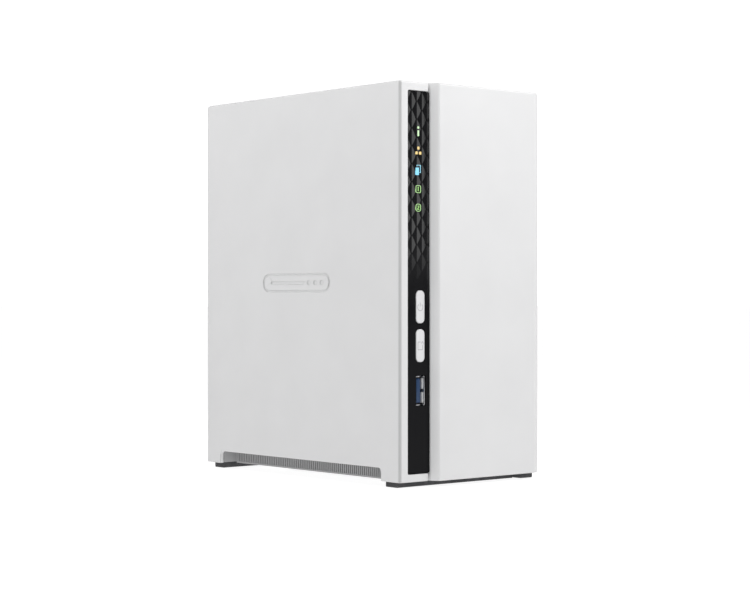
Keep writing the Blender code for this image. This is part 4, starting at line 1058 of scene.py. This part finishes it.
def drive_details(number):
    """Lid contours and screws, a plain label, and the parts on the drive's own board."""
    low, high = corners(f"drive_{number}")
    face = high.x
    form = bmesh.new()
    y0, y1, z0, z1 = low.y + 4.5, high.y - 4.5, low.z + 12.5, high.z - 4.5
    add_ribbon(form, rounded((y0, z0), (y1, z1), 5.0), 1.0, "X", face - 0.2, face + 0.14, True)
    hub = ((low.y + high.y) / 2, low.z + 92.0)
    add_ribbon(form, arc(*hub, 40.0, 0, 345, 60)[:-1], 0.8, "X", face - 0.2, face + 0.12)
    add_ribbon(form, arc(*hub, 12.0, 0, 360, 40)[:-1], 1.2, "X", face - 0.2, face + 0.12, True)
    make(f"drive_{number}_lid_contour", form, LID, "drive_metal")
    form = bmesh.new()
    spots = [(y0 - 0.2, z0 + 4), (y1 + 0.2, z0 + 4), (y0 - 0.2, z1 - 4), (y1 + 0.2, z1 - 4)]
    spots += [(y0 - 0.2, (z0 + z1) / 2), (y1 + 0.2, (z0 + z1) / 2), hub]
    profile = [(0, 0.2), (0.7, 0.2), (0.8, 0.42), (1.45, 0.42), (1.6, 0.3), (1.6, 0), (0, 0)]
    for y, z in spots:
        add_turned(form, profile, (face - 0.05, y, z), (1, 0, 0), 20)
    make(f"drive_{number}_lid_screws", form, SCREW, "screw_steel")
    form = bmesh.new()
    sheet = (hub[0] - 33, low.z + 20.0), (hub[0] + 33, low.z + 66.0)
    add_prism(form, rounded(*sheet, 2.0), "X", face - 0.02, face + 0.08)
    make(f"drive_{number}_label", form, LABEL, "drive_metal")
    form = bmesh.new()
    add_box(form, (face + 0.05, hub[0] - 33, low.z + 57.0), (face + 0.11, hub[0] + 33, low.z + 64.0))
    widths = (0.6, 1.4, 0.5, 0.9, 1.8, 0.5, 1.1, 0.7, 0.5, 1.6, 0.8, 0.5, 1.2, 0.6)
    for start, end in bar_code(hub[0] - 28, 0.9, widths):
        add_box(form, (face + 0.05, start, low.z + 24), (face + 0.11, end, low.z + 32))
    for row, length in enumerate((52, 44, 48, 36)):
        z = low.z + 51 - row * 4.5
        add_box(form, (face + 0.05, hub[0] - 28, z), (face + 0.11, hub[0] - 28 + length, z + 1.3))
    make(f"drive_{number}_label_print", form, LABEL_BAND, "drive_metal")
    board_low = corners(f"drive_board_{number}")[0]
    outer = board_low.x
    form = bmesh.new()
    for y, z, wide, tall, thick in (
        (18, 20, 14, 14, 0.6),
        (44, 18, 9, 12, 0.55),
        (60, 34, 7, 7, 0.5),
        (30, 46, 10, 6, 0.55),
        (56, 56, 6, 9, 0.5),
    ):
        spot = Vector((outer, board_low.y + y, board_low.z + z))
        add_box(form, spot - Vector((thick, 0, 0)), spot + Vector((0.05, wide, tall)), 0.12)
    make(f"drive_{number}_chips", form, BLACK, "circuit_board")
    form = bmesh.new()
    for row in range(9):
        for column in range(3):
            y = board_low.y + 6 + column * 27 + (row % 3) * 1.7
            z = board_low.z + 6 + row * 6.6
            add_box(form, (outer - 0.3, y, z), (outer + 0.05, y + 1.2, z + 0.6), 0.06, 1)
    make(f"drive_{number}_small_parts", form, TIN, "circuit_board")


def cage_beads():
    """Pressed stiffening beads with a raised edge, on both sides of the cage."""
    low, high = corners("drive_cage")
    form = bmesh.new()
    for face, out in ((low.x, -1), (high.x, 1)):
        depths = sorted((face - out * 0.1, face + out * 0.4))
        for z, y0, y1 in ((114.0, -46, 36), (168.0, -46, 36), (68.0, -40, 36)):
            add_ribbon(form, rounded((y0, z - 0.6), (y1, z + 0.6), 0.59), 0.7, "X", *depths, True)
            add_box(form, (depths[0], y0 + 1, z - 0.5), (depths[1] - 0.1, y1 - 1, z + 0.5), 0.1)
    make("cage_beads", form, SHEET, "sheet_steel")


def socket_contacts():
    """Gold contacts in the two drive sockets and on the riser's edges, and the riser's chips."""
    form = bmesh.new()
    for number in (1, 2):
        low, high = corners(f"sata_connector_{number}")
        x = (low.x + high.x) / 2
        for first, count in ((low.y + 3.2, 7), (low.y + 16.2, 15)):
            for step in range(count):
                y = first + step * 1.27
                add_box(form, (x - 0.88, y, low.z + 2.9), (x - 0.6, y + 0.6, high.z - 0.7), 0.05, 1)
    make("drive_socket_contacts", form, GOLD, "connector_steel")
    low, high = corners("drive_riser")
    form = bmesh.new()
    for z0, z1 in ((low.z - 0.05, low.z + 0.05), (high.z - 0.05, high.z + 0.05)):
        for step in range(36):
            y = low.y + 3.0 + step * 1.2
            add_box(form, (low.x + 0.3, y, z0), (low.x + 4.0, y + 0.7, z1))
    make("riser_fingers", form, GOLD, "circuit_board")
    form = bmesh.new()
    for x, y, wide, deep, tall in ((-4, -20, 8, 8, 1.0), (22, -26, 5, 5, 1.0), (-6, 2, 6, 9, 1.2)):
        add_box(form, (x, y, high.z - 0.05), (x + wide, y + deep, high.z + tall), 0.12)
    make("riser_chips", form, BLACK, "circuit_board")


# ================================================================ mainboard
# Lowest y and z, width, height and thickness of the larger chips.
CHIPS = (
    (-36, 98, 11, 13, 1.1),
    (-36, 114, 11, 13, 1.1),
    (-21, 98, 11, 13, 1.1),
    (-21, 114, 11, 13, 1.1),
    (-54, 98, 9, 13, 1.0),
    (-30, 62, 12, 12, 1.2),
    (30, 60, 8, 8, 1.0),
    (-44, 136, 8, 6, 1.0),
    (-2, 66, 6, 8, 1.0),
    (42, 44, 7, 7, 0.9),
    (-12, 140, 12, 10, 1.2),
    (16, 142, 7, 7, 0.9),
)
INDUCTORS = ((36, 14), (45, 14), (-40, 18), (-31, 18), (-22, 18), (2, 138), (2, 150))
CAPACITORS = ((52, 18), (40, 26), (-50, 22), (-12, 22), (-12, 31), (22, 154), (32, 154), (-24, 142))


def mainboard_parts():
    """Chips with leads, coils, capacitors, small parts and a pin header on the board's left face."""
    face = corners("mainboard")[0].x
    chips, leads = bmesh.new(), bmesh.new()
    for y, z, wide, tall, thick in CHIPS:
        add_box(chips, (face - thick, y, z), (face - 0.1, y + wide, z + tall), 0.15)
        add_cylinder(chips, (face - thick + 0.02, y + 1.4, z + 1.4), (-1, 0, 0), 0.4, 0.05, 16)
        for step in range(int(tall / 0.9) - 1):
            row = z + 0.9 + step * 0.9
            for y0, y1 in ((y - 0.8, y + 0.1), (y + wide - 0.1, y + wide + 0.8)):
                add_box(leads, (face - 0.35, y0, row), (face - 0.02, y1, row + 0.35))
    make("board_chips", chips, BLACK, "circuit_board")
    make("board_chip_leads", leads, TIN, "circuit_board")
    coils, cores = bmesh.new(), bmesh.new()
    for y, z in INDUCTORS:
        add_box(coils, (face - 3.6, y, z), (face - 0.1, y + 6.8, z + 6.8), 0.6)
        add_cylinder(cores, (face - 3.4, y + 3.4, z + 3.4), (-1, 0, 0), 2.4, 0.35, 32, 0.1)
    make("board_coils", coils, FERRITE, "circuit_board")
    make("board_coil_tops", cores, HEATSINK, "circuit_board")
    cans, bands = bmesh.new(), bmesh.new()
    for y, z in CAPACITORS:
        profile = [(0, 7.6), (1.4, 7.6), (1.5, 7.5), (2.6, 7.5), (3.0, 7.2), (3.0, 1.4)]
        profile += [(2.8, 1.1), (3.0, 0.8), (3.0, 0.2), (0, 0.2)]
        add_turned(cans, profile, (face, y, z), (-1, 0, 0), 32)
        add_box(bands, (face - 0.9, y - 3.3, z - 3.3), (face - 0.05, y + 3.3, z + 3.3), 0.4)
    make("board_capacitors", cans, TIN, "circuit_board")
    make("board_capacitor_bases", bands, BLACK, "circuit_board")
    tops = bmesh.new()
    for y, z in CAPACITORS:
        half_disc = arc(y, z, 2.4, 90, 270, 12)
        add_prism(tops, half_disc, "X", face - 7.63, face - 7.45)
    make("board_capacitor_marks", tops, LABEL_BAND, "circuit_board")
    resistors, ends = bmesh.new(), bmesh.new()
    for y0, z0, columns, rows in (
        (-8, 80, 12, 2),
        (-52, 118, 4, 3),
        (-60, 84, 5, 3),
        (-40, 84, 8, 2),
        (46, 56, 3, 5),
        (26, 72, 4, 3),
        (-58, 148, 7, 3),
        (-30, 156, 12, 2),
        (-14, 50, 6, 3),
        (-46, 50, 7, 3),
        (36, 36, 2, 2),
    ):
        for column in range(columns):
            for row in range(rows):
                y, z = y0 + column * 2.6, z0 + row * 2.4 + 0.6 * (column % 2)
                add_box(resistors, (face - 0.5, y, z), (face - 0.02, y + 1.6, z + 0.8), 0.05, 1)
                for y1 in (y - 0.12, y + 1.32):
                    add_box(ends, (face - 0.53, y1, z - 0.03), (face - 0.02, y1 + 0.4, z + 0.83))
    make("board_small_parts", resistors, BLACK, "circuit_board")
    make("board_small_part_ends", ends, TIN, "circuit_board")
    pins, shroud = bmesh.new(), bmesh.new()
    for step in range(6):
        y = -60 + step * 2.54
        add_box(pins, (face - 6.0, y - 0.3, 131.7), (face - 0.1, y + 0.3, 132.3), 0.1)
    add_box(shroud, (face - 2.4, -61.4, 130.6), (face - 0.1, -46.0, 133.4), 0.2)
    make("board_header_pins", pins, GOLD, "circuit_board")
    make("board_header", shroud, BLACK, "connector_black")


def heatsink_clip():
    """Sprung wire that runs between the fins and hooks down to the board on both ends."""
    low, high = corners("heatsink")
    y, x = 15.3, low.x + 6.9
    face = corners("mainboard")[0].x
    path = [(face - 0.1, y, low.z - 4.2), (face - 2.2, y, low.z - 4.0), (x, y, low.z - 1.5)]
    path += [(x - 0.3, y, low.z + 4), (x + 0.15, y, (low.z + high.z) / 2), (x - 0.3, y, high.z - 4)]
    path += [(x, y, high.z + 1.5), (face - 2.2, y, high.z + 4.0), (face - 0.1, y, high.z + 4.2)]
    form = bmesh.new()
    add_tube(form, path, 0.45, 12)
    for z in (low.z - 4.1, high.z + 4.1):
        add_cylinder(form, (face, y, z), (-1, 0, 0), 1.4, 1.0, 24, 0.15)
    make("heatsink_clip", form, SCREW, "heatsink_metal")


# ================================================================ case trim
def cover_ribs():
    """Ribs inside the sliding cover: down its side and across under its top."""
    low, high = corners("right_cover")
    wall = 2.2
    form = bmesh.new()
    for y in (-40.0, 0.0, 40.0):
        side = (high.x - wall - 0.8, y - 0.6, 9.0), (high.x - wall + 0.1, y + 0.6, high.z - wall)
        add_box(form, *side, 0.1)
        top = (low.x + 6.0, y - 0.6, high.z - wall - 0.8), (high.x - wall, y + 0.6, high.z - wall + 0.1)
        add_box(form, *top, 0.1)
    make("cover_ribs", form, CASE, "case_white", "right_cover")


def printed_labels():
    """Plain rating labels on the underside and on the back, with bars in place of text."""
    low = corners("base_tray")[0]
    form, marks = bmesh.new(), bmesh.new()
    add_prism(form, rounded((-22.0, 42.5), (22.0, 62.0), 1.5), "Z", low.z - 0.08, low.z + 0.02)
    for row, (start, end) in enumerate(((-19, 8), (-19, 16), (-19, 2), (-19, 12))):
        y = 57.5 - 3.6 * row
        add_box(marks, (start, y, low.z - 0.1), (end, y + 1.1, low.z - 0.02))
    for start, end in bar_code(3.0, 0.7, (0.5, 1.0, 0.4, 0.7, 1.4, 0.4, 0.9, 0.5, 1.1, 0.4)):
        add_box(marks, (start, 44.5, low.z - 0.1), (end, 49.0, low.z - 0.02))
    back = corners("rear_panel")[1].y
    add_prism(form, rounded((2.0, 20.0), (32.0, 32.0), 1.0), "Y", back - 0.02, back + 0.08)
    widths = (0.5, 0.9, 0.4, 1.2, 0.5, 0.8, 0.4, 1.0, 0.6, 0.4, 0.9, 0.5, 1.1)
    for start, end in bar_code(4.5, 0.75, widths):
        add_box(marks, (start, back + 0.05, 25.5), (end, back + 0.1, 30.0))
    add_box(marks, (4.5, back + 0.05, 22.0), (22.0, back + 0.1, 23.2))
    make("rating_labels", form, LABEL, "case_white")
    make("rating_label_print", marks, LABEL_BAND, "case_white")


# ================================================================ stage
CAMERA_PLACE = (-604.44, -707.73, 87.37)
CAMERA_TURN = 40.679  # degrees to the right of straight ahead
LENS = 88.256
LIGHT_AIM = (0, 0, 120)  # the point that each softbox faces
# Brightness of the surround by direction: degrees to the right of straight in front.
SURROUND = (
    (-180, 0.60),
    (-144, 0.25),
    (-112, 0.20),
    (-100, 0.25),
    (-90, 0.15),
    (-70, 0.35),
    (-56, 0.80),
    (-30, 0.75),
    (-16, 0.10),
    (0, 0.03),
    (30, 0.12),
    (47, 0.20),
    (54, 1.50),
    (64, 1.50),
    (74, 0.45),
    (110, 0.40),
    (150, 0.50),
    (180, 0.60),
)
SURROUND_STRENGTH = 1.05  # strength of the surround's shader; its ramp holds brightness / strength
SWEEP_STRENGTH = 1.1  # the white that the camera sees behind the object
FLOOR_GLOW = 0.88
FLOOR_RADIUS = 25000.0


def camera():
    data = bpy.data.cameras.new("camera")
    data.lens = LENS
    data.sensor_width = 36.0
    data.clip_start = 0.05
    data.clip_end = 60.0
    eye = bpy.data.objects.new("camera", data)
    eye.location = Vector(CAMERA_PLACE) * MM
    eye.rotation_euler = (math.radians(90), 0, math.radians(-CAMERA_TURN))
    bpy.context.scene.collection.objects.link(eye)
    bpy.context.scene.camera = eye


def softbox(name, place, size, power):
    """A square studio light that faces the object."""
    data = bpy.data.lights.new(name, "AREA")
    data.shape = "RECTANGLE"
    data.size, data.size_y = size * MM, size * MM
    data.energy = power
    light = bpy.data.objects.new(name, data)
    light.location = Vector(place) * MM
    light.rotation_euler = (Vector(LIGHT_AIM) - Vector(place)).to_track_quat("-Z", "Y").to_euler()
    bpy.context.scene.collection.objects.link(light)


def surround():
    """Studio walls whose brightness differs by direction; the camera sees a white sweep instead."""
    world = bpy.data.worlds.new("surround")
    world.use_nodes = True
    tree = world.node_tree
    place = axes(tree, tree.nodes.new("ShaderNodeTexCoord").outputs["Generated"])
    ahead = maths(tree, "MULTIPLY", place["Y"], -1.0)
    bearing = maths(tree, "ARCTAN2", place["X"], ahead)
    share = maths(tree, "ADD", maths(tree, "DIVIDE", bearing, 2 * math.pi), 0.5)
    ramp = add_node(tree, "ValToRGB", {"Fac": share})
    stops = ramp.color_ramp.elements
    while len(stops) < len(SURROUND):
        stops.new(0.5)
    for stop, (degrees, level) in zip(stops, SURROUND):
        stop.position = (degrees + 180) / 360
        grey = level / SURROUND_STRENGTH
        stop.color = (grey, grey, grey, 1)
    walls = tree.nodes["Background"]
    feed(tree, walls, {"Color": ramp.outputs["Color"], "Strength": SURROUND_STRENGTH})
    sweep = add_node(tree, "Background", {"Color": (1, 1, 1), "Strength": SWEEP_STRENGTH})
    by_camera = tree.nodes.new("ShaderNodeLightPath").outputs["Is Camera Ray"]
    shaders = {0: by_camera, 1: walls.outputs["Background"], 2: sweep.outputs["Background"]}
    seen = add_node(tree, "MixShader", shaders)
    feed(tree, tree.nodes["World Output"], {"Surface": seen.outputs["Shader"]})
    bpy.context.scene.world = world


def stage():
    """Pale floor, soft lights and a pale surround."""
    form = bmesh.new()
    bmesh.ops.create_circle(form, cap_ends=True, segments=96, radius=FLOOR_RADIUS)
    floor = to_object("floor", form)
    material, tree = new_material("pale_floor")
    cloud = noise(tree, coordinates(tree), 90.0, 2.0)
    values = {
        "Base Color": mix(tree, cloud, (0.24, 0.24, 0.24), (0.27, 0.27, 0.27)),
        "Roughness": 0.9,
        "Specular IOR Level": 0.1,
        "Emission Color": (1, 1, 1),
        "Emission Strength": FLOOR_GLOW,
    }
    floor.data.materials.append(finished(material, values))
    surround()
    bpy.context.scene.view_settings.view_transform = "Standard"
    softbox("front_right_box", (300, -330, 580), 240, 1.7)
    softbox("front_left_box", (-220, -360, 540), 220, 1.0)
    softbox("left_rear_box", (-320, 240, 440), 220, 0.62)


def main():
    camera()
    stage()
    keep_cad_shapes()
    front_strip()
    status_lights()
    button_symbols()
    usb_socket("front_usb", BLUE, "usb_blue", open_rim=True)
    usb_socket("rear_usb_1", BLACK, "connector_black")
    usb_socket("rear_usb_2", BLACK, "connector_black")
    network_socket()
    inlet_pin()
    screws()
    fan_rotor()
    fan_trim()
    for number in (1, 2):
        drive_details(number)
    cage_beads()
    socket_contacts()
    mainboard_parts()
    heatsink_clip()
    cover_ribs()
    printed_labels()


main()
